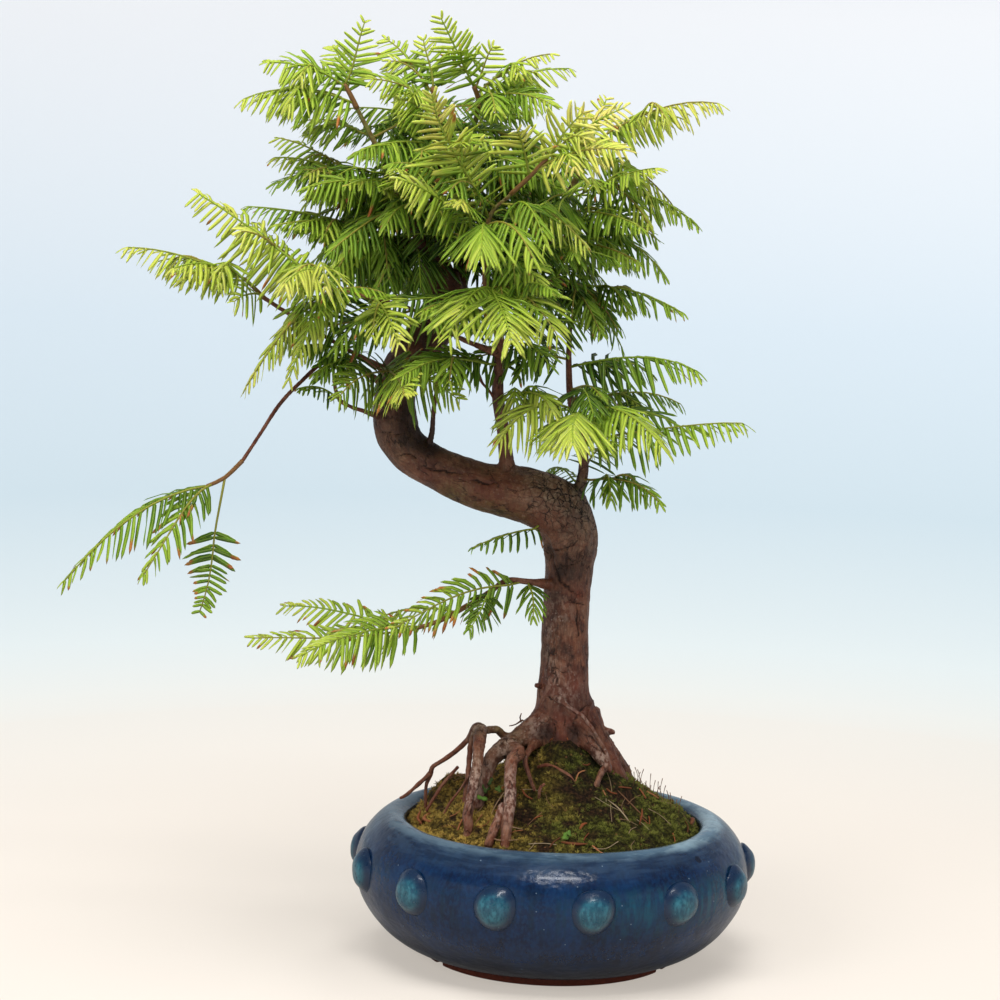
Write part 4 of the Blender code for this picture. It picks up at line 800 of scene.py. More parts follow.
def barkMaterial():
    # satin red-brown skin clouded with grey, under hair cracks; "weather" (with painted shade) and "marks"
    # hold local changes
    material, place = newMaterial("bark", Specular_IOR_Level=0.4)
    grain = addNode("Attribute", attribute_name="grain").outputs["Vector"]
    weatherAndShade, pale = colourAt("weatherAndShade")
    marks, rusty = colourAt("marks")
    clouds, cloudsRaw = streaks(place, 0.1, 0.075, 6, 0.36, 0.64)
    mottle, mottleRaw = streaks(place, 0.5, 0.32, 6, 0.42, 0.62)
    fibres, fibresRaw = streaks(grain, 1.3, 0.17, 5, 0.4, 0.62)
    dents, dentsRaw = streaks(place, 0.3, 0.22, 7, 0.5, 0.62)
    breaks, _raw = streaks(place, 0.13, 0.13, 4, 0.47, 0.6)
    long = addNode("VectorMath", {0: grain, 1: (1, 1, 0.42)}, operation="MULTIPLY").outputs[0]
    network = times(cracked(long, 0.19, 0.055, 9), breaks)
    hairs = cracked(place, 0.22, 0.05, 5)
    lines = times(maths("MAXIMUM", network, times(hairs, marks[1])),
                  scaled(maths("MAXIMUM", marks[1], pale), 0.35, 0.6))
    crack = span(scaled(mottleRaw, 0.7, marks[0]), 0.62, 1.15)
    lines = maths("MAXIMUM", lines, times(crack, 0.85))
    fleck = times(specks(grain, 0.62, 0.34, 0.4), scaled(pale, 0.75, 0.1))
    patch = times(pale, times(mottle, 0.7))
    base = ramp(cloudsRaw, [
        (0.36, (54, 27, 17)), (0.44, (98, 52, 34)), (0.52, (126, 74, 50)), (0.64, (142, 98, 74))])
    colour = layered(
        base,
        (times(mottle, 0.4), (144, 100, 76)),
        (times(dents, 0.5), (48, 24, 15)),
        (times(maths("SUBTRACT", 1, fibres), 0.4), (58, 32, 22)),
        (times(weatherAndShade[2], scaled(clouds, -0.4, 0.75)), (114, 54, 36)),
        (times(marks[1], 0.5), mixed(mottle, (98, 82, 64), (148, 132, 108))),
        (times(weatherAndShade[0], scaled(clouds, 0.4, 0.4)), mixed(mottle, (64, 60, 28), (100, 94, 48))),
        (times(pale, scaled(mottle, -0.75, 0.75)), (70, 42, 34)),
        (maths("MAXIMUM", fleck, patch), (192, 168, 152)),
        (marks[2], mixed(mottle, (116, 92, 50), (132, 132, 66))),
        (times(rusty, 0.85), (150, 62, 36)),
        (lines, (26, 14, 10)),
        # the painted shade, laid over all
        (times(weatherAndShade[1], 0.84), (30, 16, 9)))
    feed(Base_Color=colour, Roughness=scaled(mottleRaw, 0.4, scaled(lines, 0.3, 0.3)))
    height = scaled(fibresRaw, 0.5, times(mottleRaw, 0.9))
    bumpOf(scaled(lines, -0.7, scaled(dentsRaw, 0.8, height)), 0.8, 1)
    return material


# pot: the solids' outline, turned and made uneven
potInside = [(1.5, 9), (30, 9), (60, 9), (80, 19), (87, 37), (80, 54), (72, 61), (71, 64.5)]
potOutside = [(73.5, 67), (79, 67.5), (86, 63), (92.5, 54), (94.8, 42), (92.2, 29), (85, 17.5), (76, 9.5),
              (67, 5), (61.8, 4)]
potFoot = [(61.5, 3.6), (61.0, 0.6), (60.0, 0.0), (30, 0), (1.5, 0)]
pot = {
    "pitch": 1.25, "insidePitch": 5.0, "columns": 432, "uneven": 0.35, "lipUneven": 0.5,
    "bodyFrom": 5, "lipFrom": 58, "fade": 8, "beltRadius": 84,
    "grooveDepth": 0.12, "grooveWidth": 1.8, "grooveOff": 0.7,
    "stains": [((67, -55.5, 61.5), 2.2), ((46, -72.5, 18.5), 1.6)],
    "drainHoles": 3, "drainRadius": 7.0, "drainAt": 32.0, "drainSides": 48, "drainReach": 20.0,
    "drainAcross": 8.0, "drainHigh": 3.0, "drainEnd": 68.0,
}
studs = {
    "count": 13, "firstAngle": -79.0, "radius": 9.2, "centre": (92.9, 44.6), "depth": 6.6, "rings": 16,
    "sides": 44, "uneven": 0.35, "skirt": 0.16, "skirtFrom": 0.8, "sunk": 3.0,
}


def studPlaces():
    # each stud's centre and its outward and sideways directions
    angle = np.radians(studs["firstAngle"]) + np.arange(studs["count"]) * full / studs["count"]
    zero = np.zeros_like(angle)
    out = np.stack([np.cos(angle), np.sin(angle), zero], axis=1)
    side = np.stack([-np.sin(angle), np.cos(angle), zero], axis=1)
    radius, height = studs["centre"]
    return out * radius + np.array([0, 0, height]), out, side


def buildPot():
    # the outline turned; its body swells and its lip waves by noise, with a shallow groove round each stud
    inside = turnedPath(potInside, pot["insidePitch"])
    outside = turnedPath(potInside[-1:] + potOutside, pot["pitch"])
    foot = turnedPath(potFoot[:3], pot["pitch"])
    under = turnedPath(potFoot[2:], pot["insidePitch"])
    outline = np.vstack([inside[:-1], outside, foot[:-1], under])
    grid = turned(outline, pot["columns"])
    points = grid.reshape(-1, 3)
    angle = np.arange(pot["columns"]) * full / pot["columns"]
    out = np.tile(np.stack([np.cos(angle), np.sin(angle), np.zeros_like(angle)], axis=1), (len(outline), 1))
    above = np.clip((points[:, 2] - pot["bodyFrom"]) / pot["fade"], 0, 1)
    lip = np.clip((points[:, 2] - pot["lipFrom"]) / pot["fade"], 0, 1)
    shift = layeredNoise(points / 34, 5) * pot["uneven"] * 2 * above
    centres, _out, _side = studPlaces()
    ring = np.full(len(points), 1e3)
    for centre in centres:
        ring = np.minimum(ring, np.linalg.norm(points - centre, axis=1))
    outer = np.hypot(points[:, 0], points[:, 1]) > pot["beltRadius"]
    off = ring - studs["radius"] - pot["grooveOff"]
    shift -= pot["grooveDepth"] * np.exp(-(off / pot["grooveWidth"]) ** 2) * outer
    points = points + out * shift[:, None]
    points[:, 2] += layeredNoise(points / 40, 9, 2) * pot["lipUneven"] * 2 * lip
    first, last = np.array([0, 0, outline[0, 1]]), np.array([0, 0, outline[-1, 1]])
    body = newMesh("pot_rough", *skin(points.reshape(grid.shape), first, last))
    mesh = cutDrains(addObject("pot_rough", body))
    addPiece("pot_glazed", mesh, glazeMaterial(), ("pot",))
    print("pot: %d faces" % len(mesh.polygons))


def cutDrains(made):
    # takes the drain holes and the grooves that lead the water out from the foot
    cutters = bpy.data.collections.new("drain_cutters")
    scene.collection.children.link(cutters)
    at, reach = pot["drainAt"], pot["drainReach"]
    for number in range(pot["drainHoles"]):
        angle = full * (number / pot["drainHoles"] + 0.25)
        c, s = math.cos(angle), math.sin(angle)
        turn = np.array([[c, s, 0], [-s, c, 0], [0, 0, 1]])
        hole = np.array([(at, 0, -reach, pot["drainRadius"]), (at, 0, reach, pot["drainRadius"])])
        hole[:, :3] = hole[:, :3] @ turn
        groove = blockPoints(at, pot["drainEnd"], pot["drainAcross"], pot["drainHigh"]) @ turn
        for name, part in (("hole_%d", loft(hole, pot["drainSides"])),
                           ("groove_%d", (groove, blockFaces, noTriangles))):
            cutters.objects.link(bpy.data.objects.new(name % number, newMesh(name % number, *part)))
    cut = made.modifiers.new("drains", "BOOLEAN")
    cut.operation, cut.operand_type, cut.collection = "DIFFERENCE", "COLLECTION", cutters
    cut.solver = "EXACT"
    mesh = evaluated(made)
    mesh.materials.clear()
    mesh.shade_smooth()
    for cutter in list(cutters.objects):
        bpy.data.objects.remove(cutter)
    bpy.data.collections.remove(cutters)
    return mesh


blockFaces = np.array([[0, 1, 3, 2], [4, 6, 7, 5], [0, 4, 5, 1], [2, 3, 7, 6], [0, 2, 6, 4], [1, 5, 7, 3]])


def blockPoints(start, end, across, high):
    # corners of a block along +X: x, then y, then z, each low and high
    x, y, z = np.meshgrid([start, end], [-across / 2, across / 2], [-high, high], indexing="ij")
    return np.stack([x.ravel(), y.ravel(), z.ravel()], axis=1)


def buildStuds():
    # dome: out depth sqrt(1 - rho^2.6) with a spread foot, closed behind by a pole inside the wall
    centres, out, side = studPlaces()
    rho = np.sin(np.linspace(0.03, 1, studs["rings"]) * math.pi / 2)
    skirt = 1 + studs["skirt"] * np.clip((rho - studs["skirtFrom"]) / (1 - studs["skirtFrom"]), 0, 1) ** 2
    angle = np.arange(studs["sides"]) * full / studs["sides"]
    parts, tints = [], []
    for number, (centre, outward, sideways) in enumerate(zip(centres, out, side)):
        wobble = 1 + 0.03 * np.sin(2 * angle + number) + 0.02 * np.sin(3 * angle + 2 * number)
        radius = (rho * skirt)[:, None] * studs["radius"] * wobble
        rise = studs["depth"] * np.sqrt(1 - rho ** 2.6 * 0.999)[:, None] + 0 * radius
        grid = (centre + outward * rise[..., None] + sideways * (radius * np.cos(angle))[..., None]
                + np.array([0, 0, 1.0]) * (radius * np.sin(angle))[..., None])
        points = grid.reshape(-1, 3)
        points = points + outward * (layeredNoise(points / 6, 15) * studs["uneven"])[:, None]
        top, back = centre + outward * studs["depth"], centre - outward * studs["sunk"]
        parts.append(skin(points.reshape(grid.shape), top, back))
        height = np.clip((grid[..., 2] - centre[2]) / studs["radius"], -1, 1) * 0.5 + 0.5
        tint = np.stack([np.repeat(rho, studs["sides"]), height.ravel(),
                         np.full(height.size, (number * 0.37) % 1)], axis=1)
        tints.append(np.vstack([tint, [[0, 0.5, 0.5], [1, 0.5, 0.5]]]))
    mesh = newMesh("pot_studs", *joined(parts))
    setColour(mesh, "dome", np.vstack(tints))
    addPiece("pot_studs", mesh, studMaterial())
    print("pot: %d studs" % studs["count"])


def glazeMaterial():
    # navy, teal between the right-hand studs, grey low down, pale at the lip with a painted sheen on its
    # right and back, bare clay at the foot
    material, place = newMaterial("deep_blue_glaze", Specular_IOR_Level=0.32, Coat_Roughness=0.06)
    across, back, height = addNode("SeparateXYZ", {0: place}).outputs
    broad, broadRaw = streaks(place, 0.05, 0.03, 5, 0.35, 0.65)
    drips, _raw = streaks(place, 0.34, 0.05, 5, 0.42, 0.62)
    mottle, mottleRaw = streaks(place, 0.62, 0.4, 6, 0.42, 0.6)
    wiped, _raw = streaks(place, 0.05, 0.42, 5, 0.42, 0.6)
    _mask, waves = streaks(place, 0.09, 0.16, 2, 0.3, 0.7)
    belt = times(span(height, 27, 42), span(height, 58, 46))
    right = times(span(across, -8, 46), span(back, -10, -40))
    teal = times(times(belt, scaled(right, 0.7, 0.12)), scaled(drips, 0.75, 0.3))
    low = span(scaled(broadRaw, 12, height), 32, 13)
    shoulder = span(scaled(broadRaw, 9, height), 59, 70)
    lip = span(scaled(broadRaw, 4, height), 66.5, 70.5)
    # painted sheen: the lip is paler towards the right and the back
    inner = span(maths("ADD", across, times(back, 0.4)), -40, 60)
    pits = specks(place, 0.4, 0.08, 0.12)
    clay = span(scaled(mottleRaw, 1.6, height), 4.9, 4.3)
    stains = []
    for centre, size in pot["stains"]:
        away = addNode("VectorMath", {0: place, 1: centre}, operation="DISTANCE").outputs["Value"]
        blot = span(scaled(mottleRaw, 1.5, away), size + 0.8, size)
        stains.append((times(blot, 0.8), (6, 10, 28)))
    colour = layered(
        mixed(broad, (4, 20, 50), (8, 40, 78)),
        (times(mottle, 0.45), (10, 52, 90)),
        (times(drips, 0.4), (4, 12, 28)),
        (teal, (6, 74, 96)),
        (times(low, 0.88), (16, 17, 23)),
        (times(shoulder, 0.7), mixed(wiped, (26, 41, 60), (46, 64, 84))),
        (times(lip, scaled(inner, 0.58, 0.36)), mixed(wiped, (86, 114, 132), (134, 160, 170))),
        (times(specks(place, 0.2, 0.075, 0.5), 0.7), (122, 142, 158)),
        (times(pits, 0.8), (10, 12, 20)),
        (times(specks(place, 0.045, 0.13, 0.4), 0.75), (10, 16, 34)),
        *stains,
        (clay, mixed(mottleRaw, (66, 24, 14), (128, 62, 42))))
    rough = scaled(mottleRaw, 0.16, scaled(broadRaw, 0.12, 0.08))
    feed(Base_Color=colour, Roughness=scaled(clay, 0.6, rough, clamp=True),
         Coat_Weight=scaled(clay, -0.22, 0.22, clamp=True))
    relief = scaled(mottleRaw, 0.25, times(waves, 2.2))
    bumpOf(scaled(pits, -0.4, relief), 0.5, 0.7)
    return material


def studMaterial():
    # "dome" holds the place from the top (0) to the edge (1), the height on it and the stud's own number
    material, place = newMaterial("teal_stud_glaze", Specular_IOR_Level=0.5, Coat_Weight=0.3,
                                  Coat_Roughness=0.08)
    dome, _alpha = colourAt("dome")
    mottle, mottleRaw = streaks(place, 0.55, 0.3, 6, 0.42, 0.6)
    clouds, cloudsRaw = streaks(place, 0.16, 0.16, 3, 0.4, 0.6)
    top = span(scaled(cloudsRaw, 0.5, dome[1]), 0.8, 1.25)
    # painted highlight: the lower rim of each stud is paler
    low = times(span(dome[1], 0.34, 0.1), span(dome[0], 0.6, 0.9))
    colour = layered(
        mixed(mottle, (18, 78, 94), (48, 110, 124)),
        (times(clouds, 0.4), (12, 48, 78)),
        (times(top, 0.75), (16, 44, 74)),
        (times(low, 0.5), (92, 128, 134)),
        (span(scaled(mottleRaw, 0.2, dome[0]), 0.78, 1.06), (8, 34, 62)),
        (times(specks(place, 0.4, 0.1, 0.35), 0.6), (120, 156, 164)))
    feed(Base_Color=colour, Roughness=scaled(mottleRaw, 0.3, 0.16))
    bumpOf(scaled(cloudsRaw, 1.2, times(mottleRaw, 0.4)), 0.4, 0.7)
    return material


def finishScreen():
    # the drain screen keeps its solid and gets moulded black plastic
    material, place = newMaterial("screen_plastic", Specular_IOR_Level=0.4)
    mottle, mottleRaw = streaks(place, 0.9, 0.9, 4, 0.35, 0.65)
    feed(Base_Color=mixed(mottle, (22, 22, 24), (40, 40, 42)), Roughness=scaled(mottleRaw, 0.3, 0.35))
    bumpOf(mottleRaw, 0.1, 0.5)
    node = frame["nodes"]["drain_screen"]
    node.data.materials.clear()
    node.data.materials.append(material)
    print("screen: finished")


# soil and moss
soil = {
    "edge": 63.6, "rim": 70.55, "bottom": 10.8, "bottomRadius": 58.0, "fall": 9.0, "clearance": 0.45,
    "wall": 71.0, "mossEnd": 70.5, "mossSunk": 0.3, "moundAt": (2.0, 1.0), "moundHeight": 39.5,
    "moundSpread": 45.0, "rings": 110, "columns": 300, "cushion": 3.0, "crumb": 1.5,
    # x, y, height and spread
    "humps": [(-52, 12, 10, 11), (36, -14, 3, 16), (-30, -28, 2, 16), (24, -40, 2, 14), (-10, 46, 4, 18),
              (4, -16, 13, 14), (-50, -26, 2, 12), (56, -14, 2.5, 14)],
}
moss = {"seed": 23, "tufts": 7100, "leaves": 7, "reach": 69.8, "tall": 2.2, "spread": 0.85, "width": 0.42,
        "sunk": 0.6}
barePatches = [
    (2, -26, 96, 14, 0.35), (-14, -46, 76, 8, 0.9), (12, -55, 72, 7, 0.8), (-3, -60, 69, 6, 0.8),
    (28, -44, 75, 8, 0.8), (-48, -36, 70, 6, 0.6), (8, -38, 84, 7, 0.6), (52, -28, 69, 6, 0.6),
    (0, 50, 72, 10, 0.6), (30, -26, 84, 9, 0.9), (18, -36, 84, 9, 0.7), (-30, -30, 82, 7, 0.7),
    (-24, -34, 84, 7, 0.6)]
litter = {"seed": 31, "needles": 64, "hairs": 44, "stalks": 26, "reach": 67.0, "pitch": 1.0, "sides": 5,
          "float": 0.8, "leafSides": 18, "leafHalf": 0.12}
# pale roots and bits of bark that lie on the moss: their points and half width, and their colour number
rootHairs = [
    ([(8.4, -28.5, 88.8), (9.8, -33, 85.4), (11.7, -38.5, 81.5), (11, -41, 79.5)], 0.35, 0.1),
    ([(21.3, -27.5, 87), (24.1, -32.5, 83.3), (22.1, -40, 79.6)], 0.32, 0.05),
    ([(25.1, -32, 83.2), (29.9, -34, 80), (34.6, -38, 75.3), (36.5, -40.5, 73.1)], 0.45, 0),
    ([(2.3, -33, 85.5), (0.9, -41.5, 78.9), (0.5, -51, 72.6)], 0.35, 0.15),
    ([(-2, -39, 81), (-8, -44, 77.5), (-13, -50, 74)], 0.35, 0.3),
    ([(30, -24, 86), (38, -28, 79), (44, -32, 74)], 0.5, 0.35),
    ([(-22, -30, 88), (-27, -36, 82), (-30, -42, 77)], 0.4, 0.2),
    ([(-40, -14, 90), (-46, -10, 88), (-52, -8, 85)], 0.5, 0.35),
    ([(-32, -58, 70), (-25, -60.5, 69), (-17, -60, 69.5)], 0.6, 0.25),
    ([(-28, -52, 76), (-21, -57, 75), (-15, -58, 74)], 0.5, 0.2),
    ([(11.7, -52, 73.5), (13, -49, 75), (15, -48, 75.6)], 1.1, 0.75),
    ([(22.7, -28, 87), (24, -31, 83.6), (25, -34, 80)], 0.9, 0.9),
    ([(-15.7, -31.5, 87), (-14, -35, 85), (-10, -36, 83)], 0.7, 0.7),
    ([(-59.3, -13, 70), (-62, -20, 68.5), (-57, -26, 68)], 1.2, 0.85),
    ([(-64, -10, 70), (-65, -17, 68), (-63, -24, 67)], 1, 0.8),
    ([(-7.1, -35, 85), (-8, -37.4, 82), (-7, -40, 80)], 0.8, 0.9),
    ([(66, -16, 69), (67, -11, 70), (66, -7, 69.5)], 1.6, 0.5),
    ([(40, -40, 74), (41, -38.6, 78), (41, -38, 81)], 0.7, 0.7),
    ([(3, -62, 69.5), (9, -63, 69), (15, -62, 69)], 1.2, 0.6)]
# small lobed leaves: place, direction of the leaf's face, radius, turn, tone
weeds = [
    ((-34.5, -31, 82.6), (0.2, -0.7, 0.65), 3, 0.4, 0.9),
    ((-33, -30.5, 86.5), (0.5, -0.8, 0.4), 2.6, 1.4, 0.15),
    ((-31.4, -30, 90), (-0.3, -0.9, 0.4), 2.3, 2, 0.05),
    ((4.7, -60, 71.5), (-0.4, -0.8, 0.5), 2.2, 0.9, 0.8),
    ((6.2, -61, 73.5), (0.5, -0.7, 0.6), 1.8, 2.2, 0.6), ((-27, -33, 87), (0.3, -0.8, 0.6), 2, 0.2, 0.2)]


def soilHeight(x, y):
    # mound height e^-(d / spread)^2, plus humps of the same form, fading to the level edge near the wall
    away = np.hypot(x - soil["moundAt"][0], y - soil["moundAt"][1])
    height = soil["moundHeight"] * np.exp(-(away / soil["moundSpread"]) ** 2)
    for humpX, humpY, hump, spread in soil["humps"]:
        height = height + hump * np.exp(-((x - humpX) ** 2 + (y - humpY) ** 2) / spread ** 2)
    fall = ((soil["wall"] - np.hypot(x, y)) / soil["fall"]).clip(0, 1)
    return soil["edge"] + height * fall


def mossHeight(x, y):
    # the mound with moss cushions (noise of 8 mm) and crumbs (noise of 3.4 mm), which sink at the wall
    flat = np.stack([x, y, np.zeros_like(x)], axis=1)
    fade = ((soil["mossEnd"] - np.hypot(x, y)) / 3).clip(0, 1)
    cushion = (valueNoise(flat / 8 + 3.3, 91) - 0.5) * soil["cushion"]
    crumb = layeredNoise(flat / 3.4, 93, 3) * soil["crumb"]
    return soilHeight(x, y) + (cushion + crumb) * fade - soil["mossSunk"]


def buildSoil():
    # a turned body: the mound on top, then down along the pot's inner wall at a clearance, and a flat bottom
    wall = turnedPath(potInside[2:], 4.0)[:, :2]
    across = np.gradient(wall, axis=0)
    wall = wall + normalised(np.stack([-across[:, 1], across[:, 0]], axis=1)) * soil["clearance"]
    wall = wall[(wall[:, 1] > soil["bottom"] + 1) & (wall[:, 1] < soil["edge"] - 1)][::-1]
    top = np.stack([np.linspace(0.4, soil["rim"], soil["rings"]), np.full(soil["rings"], soil["edge"])],
                   axis=1)
    under = np.array([(radius, soil["bottom"]) for radius in (soil["bottomRadius"], 20.0, 1.0)])
    grid = turned(np.vstack([top, wall, under]), soil["columns"])
    crown = grid[:len(top)]
    crown[..., 2] = mossHeight(crown[..., 0].ravel(), crown[..., 1].ravel()).reshape(crown.shape[:2])
    crown[-1, :, 2] = soil["edge"]
    part = skin(grid, np.array([0, 0, crown[0, :, 2].mean()]), np.array([0, 0, soil["bottom"]]))
    mesh = newMesh("soil_moss", *part)
    setColour(mesh, "ground", groundOf(part[0]))
    addPiece("soil_moss", mesh, soilMaterial(), ("soil_mound",))
    print("soil: %d faces" % len(mesh.polygons))


def groundOf(points):
    # at each point: bare soil, warmth (1 at the left, 0 at the right) and depth of green with its clumps
    bare = (spots(points, barePatches) + (layeredNoise(points / 6, 95) + 0.02) * 1.6).clip(0, 1)
    warm = (0.3 - points[:, 0] / 45 + layeredNoise(points / 10, 97) * 0.8).clip(0, 1)
    middle = np.exp(-((points[:, 0] - 8) / 20) ** 2 - ((points[:, 1] + 36) / 22) ** 2)
    lush = (0.5 + layeredNoise(points / 9, 99) * 1.0 + layeredNoise(points / 2.7, 101, 2) * 1.2
            + (np.abs(points[:, 0]) / 60).clip(0, 1) * 0.15 - 0.3 * middle).clip(0, 1)
    return np.stack([bare, warm, lush], axis=1)


def soilMaterial():
    # green crumbs, bare brown earth where "ground" says so, and pale grit
    material, place = newMaterial("mossy_soil", Specular_IOR_Level=0.2)
    ground, _alpha = colourAt("ground")
    crumbs, crumbsRaw = streaks(place, 0.8, 0.8, 6, 0.4, 0.62)
    colour = layered(
        mossColour(ground, times(crumbs, 0.2)),
        (scaled(crumbs, -0.35, 0.85), (26, 22, 7)),
        (ground[0], mixed(crumbs, (20, 13, 8), (56, 38, 25))),
        (times(specks(place, 0.42, 0.3, 0.14), 0.55), (118, 80, 54)))
    feed(Base_Color=colour, Roughness=scaled(crumbsRaw, 0.3, 0.75))
    bumpOf(crumbsRaw, 1.4, 1)
    return material


def spikes(base, aim, side, length, width):
    # a leaf of three faces and a base: a triangle across the root drawn out to a tip
    third = np.cross(side, aim)
    corners = np.stack([base + side * width, base - side * width * 0.5 + third * width * 0.6,
                        base - side * width * 0.5 - third * width * 0.6, base + aim * length], axis=1)
    start = np.arange(len(base))[:, None] * 4
    faces = np.array([[0, 2, 1], [0, 1, 3], [1, 2, 3], [2, 0, 3]])
    return corners.reshape(-1, 3), (faces[None] + start[:, :, None]).reshape(-1, 3)


def uprightOn(x, y):
    # the mound's normal: minus the slopes, and 1
    slopeX = soilHeight(x + 0.5, y) - soilHeight(x - 0.5, y)
    slopeY = soilHeight(x, y + 0.5) - soilHeight(x, y - 0.5)
    return normalised(np.stack([-slopeX, -slopeY, np.full(len(x), 1.0)], axis=1))


def buildMoss():
    # star-like tufts: leaves of each tuft stand round its stem, evenly turned, on the mound's surface
    draws = np.random.default_rng(moss["seed"])
    count = moss["tufts"]
    radius = np.sqrt(draws.uniform(0.0, 1.0, count * 3)) * moss["reach"]
    angle = draws.uniform(0, full, count * 3)
    x, y = radius * np.cos(angle), radius * np.sin(angle)
    foot = np.stack([x, y, mossHeight(x, y)], axis=1)
    ground = groundOf(foot)
    gaps = (layeredNoise(foot / 3.1, 103, 2) * 1.6).clip(-0.3, 0.5)
    kept = np.flatnonzero(draws.uniform(0, 1, count * 3) > ground[:, 0] * 0.9 + gaps)[:count]
    foot, ground = foot[kept], ground[kept]
    upright = normalised(uprightOn(foot[:, 0], foot[:, 1]) + np.array([0, -0.12, 0.1])
                         + draws.normal(0, 0.22, (len(foot), 3)))
    sideways = normalised(np.cross(upright, np.array([0.31, 0.95, 0.02])))
    forward = np.cross(upright, sideways)
    size = draws.uniform(0.5, 1.2, len(foot)) * (0.7 + 0.5 * ground[:, 2])
    leaves = moss["leaves"]
    turn = np.arange(leaves)[None] * full / leaves + draws.uniform(0, full, len(foot))[:, None]
    turn = turn + draws.uniform(-0.3, 0.3, turn.shape)
    lean = draws.uniform(0.3, 1.0, turn.shape) * moss["spread"]
    lean[:, 0] *= 0.15
    around = np.cos(turn)[..., None] * sideways[:, None] + np.sin(turn)[..., None] * forward[:, None]
    aim = normalised(around * np.sin(lean)[..., None] + upright[:, None] * np.cos(lean)[..., None])
    side = normalised(np.cross(aim, upright[:, None] + 0.01))
    length = (moss["tall"] * size[:, None] * draws.uniform(0.6, 1.1, turn.shape)).reshape(-1, 1)
    base = np.repeat(foot, leaves, axis=0) - np.repeat(upright, leaves, axis=0) * moss["sunk"]
    points, triangles = spikes(base, aim.reshape(-1, 3), side.reshape(-1, 3), length,
                               np.repeat(size * moss["width"], leaves)[:, None])
    ground[:, 2] = (ground[:, 2] + draws.normal(0, 0.34, len(foot))).clip(0, 1)
    mesh = newMesh("moss_tufts", points, np.zeros((0, 4), int), triangles)
    tone = np.repeat(ground, leaves * 4, axis=0)
    tone[:, 0] = np.tile([0, 0, 0, 1.0], len(base))
    setColour(mesh, "ground", tone)
    addPiece("moss_tufts", mesh, mossMaterial())
    print("moss: %d tufts, %d faces" % (len(foot), len(triangles)))


def mossMaterial():
    # in the tufts the first number of "ground" is the place along the leaf
    material, place = newMaterial("moss_leaf", Specular_IOR_Level=0.3)
    ground, _alpha = colourAt("ground")
    _mask, drift = streaks(place, 0.35, 0.35, 3, 0.35, 0.65)
    # painted shade: each leaf darkens to near black towards its root, deep in the tuft
    root = maths("SUBTRACT", 1, ground[0])
    brown = times(span(drift, 0.52, 0.66), ground[1])
    colour = layered(mossColour(ground, times(ground[0], drift)),
                     (times(root, 0.85), (16, 12, 4)), (times(brown, 0.6), (132, 86, 42)))
    feed(Base_Color=colour, Roughness=scaled(drift, 0.3, 0.55))
    return material


def scattered(draws, count, reach):
    # places on the mound within a radius, with their normal
    radius, angle = np.sqrt(draws.uniform(0.02, 1, count)) * reach, draws.uniform(0, full, count)
    x, y = radius * np.cos(angle), radius * np.sin(angle)
    return np.stack([x, y, mossHeight(x, y)], axis=1), uprightOn(x, y)


def buildLitter():
    # roots, bark flakes, shed needles and thin stalks as rods; the colour number runs from pale to rust
    draws = np.random.default_rng(litter["seed"])
    rods = []
    for line, half, tone in rootHairs:
        path = smoothPath([(*point, half) for point in line], litter["pitch"])
        path[:, 3] *= 0.75 * np.sin(np.linspace(0.5, 2.8, len(path)))
        rods.append((path, tone))
    foot, up = scattered(draws, litter["needles"] + litter["hairs"], litter["reach"])
    for number, (place, upward) in enumerate(zip(foot, up)):
        shed = number < litter["needles"]
        along = normalised(np.cross(upward, draws.normal(0, 1, 3)))
        half = draws.uniform(2.2, 4.5) if shed else draws.uniform(3.0, 7.0)
        bend = np.cross(upward, along) * draws.uniform(-0.35, 0.35)
        line = np.array([place + upward * litter["float"] + along * half * u + bend * half * u * u
                         for u in (-1, 0, 1)])
        line[:, 2] = mossHeight(line[:, 0], line[:, 1]) + 0.9
        width = draws.uniform(0.22, 0.42) if shed else draws.uniform(0.12, 0.2)
        path = smoothPath(np.column_stack([line, np.full(3, width)]), litter["pitch"] * 1.5)
        rods.append((path, draws.uniform(0.5, 1.0) if shed else draws.uniform(0.0, 0.3)))
    for _number in range(litter["stalks"]):
        x, y = draws.uniform(32, 60), draws.uniform(-16, 0)
        z = mossHeight(np.array([x]), np.array([y]))[0]
        lean = draws.normal(0, 1.2, 2)
        tall = draws.uniform(4, 9.5)
        line = [(x, y, z, 0.16), (x + lean[0] * 0.3, y + lean[1] * 0.3, z + tall * 0.6, 0.14),
                (x + lean[0], y + lean[1], z + tall, 0.22)]
        rods.append((smoothPath(line, litter["pitch"] * 2), draws.uniform(0.3, 0.5)))
    parts = [loft(path, litter["sides"]) for path, _tone in rods]
    tones = [np.repeat([[tone, 0.0, 0.0]], len(part[0]), axis=0)
             for part, (_path, tone) in zip(parts, rods)]
    for place, facing, radius, turn, tone in weeds:
        part = lobedLeaf(np.array(place, float), np.array(facing, float), radius, turn)
        parts.append(part)
        tones.append(np.repeat([[tone, 1.0, 0.0]], len(part[0]), axis=0))
    mesh = newMesh("moss_litter", *joined(parts))
    setColour(mesh, "litter", np.vstack(tones))
    addPiece("moss_litter", mesh, litterMaterial())
    print("litter: %d rods and %d leaves" % (len(rods), len(weeds)))


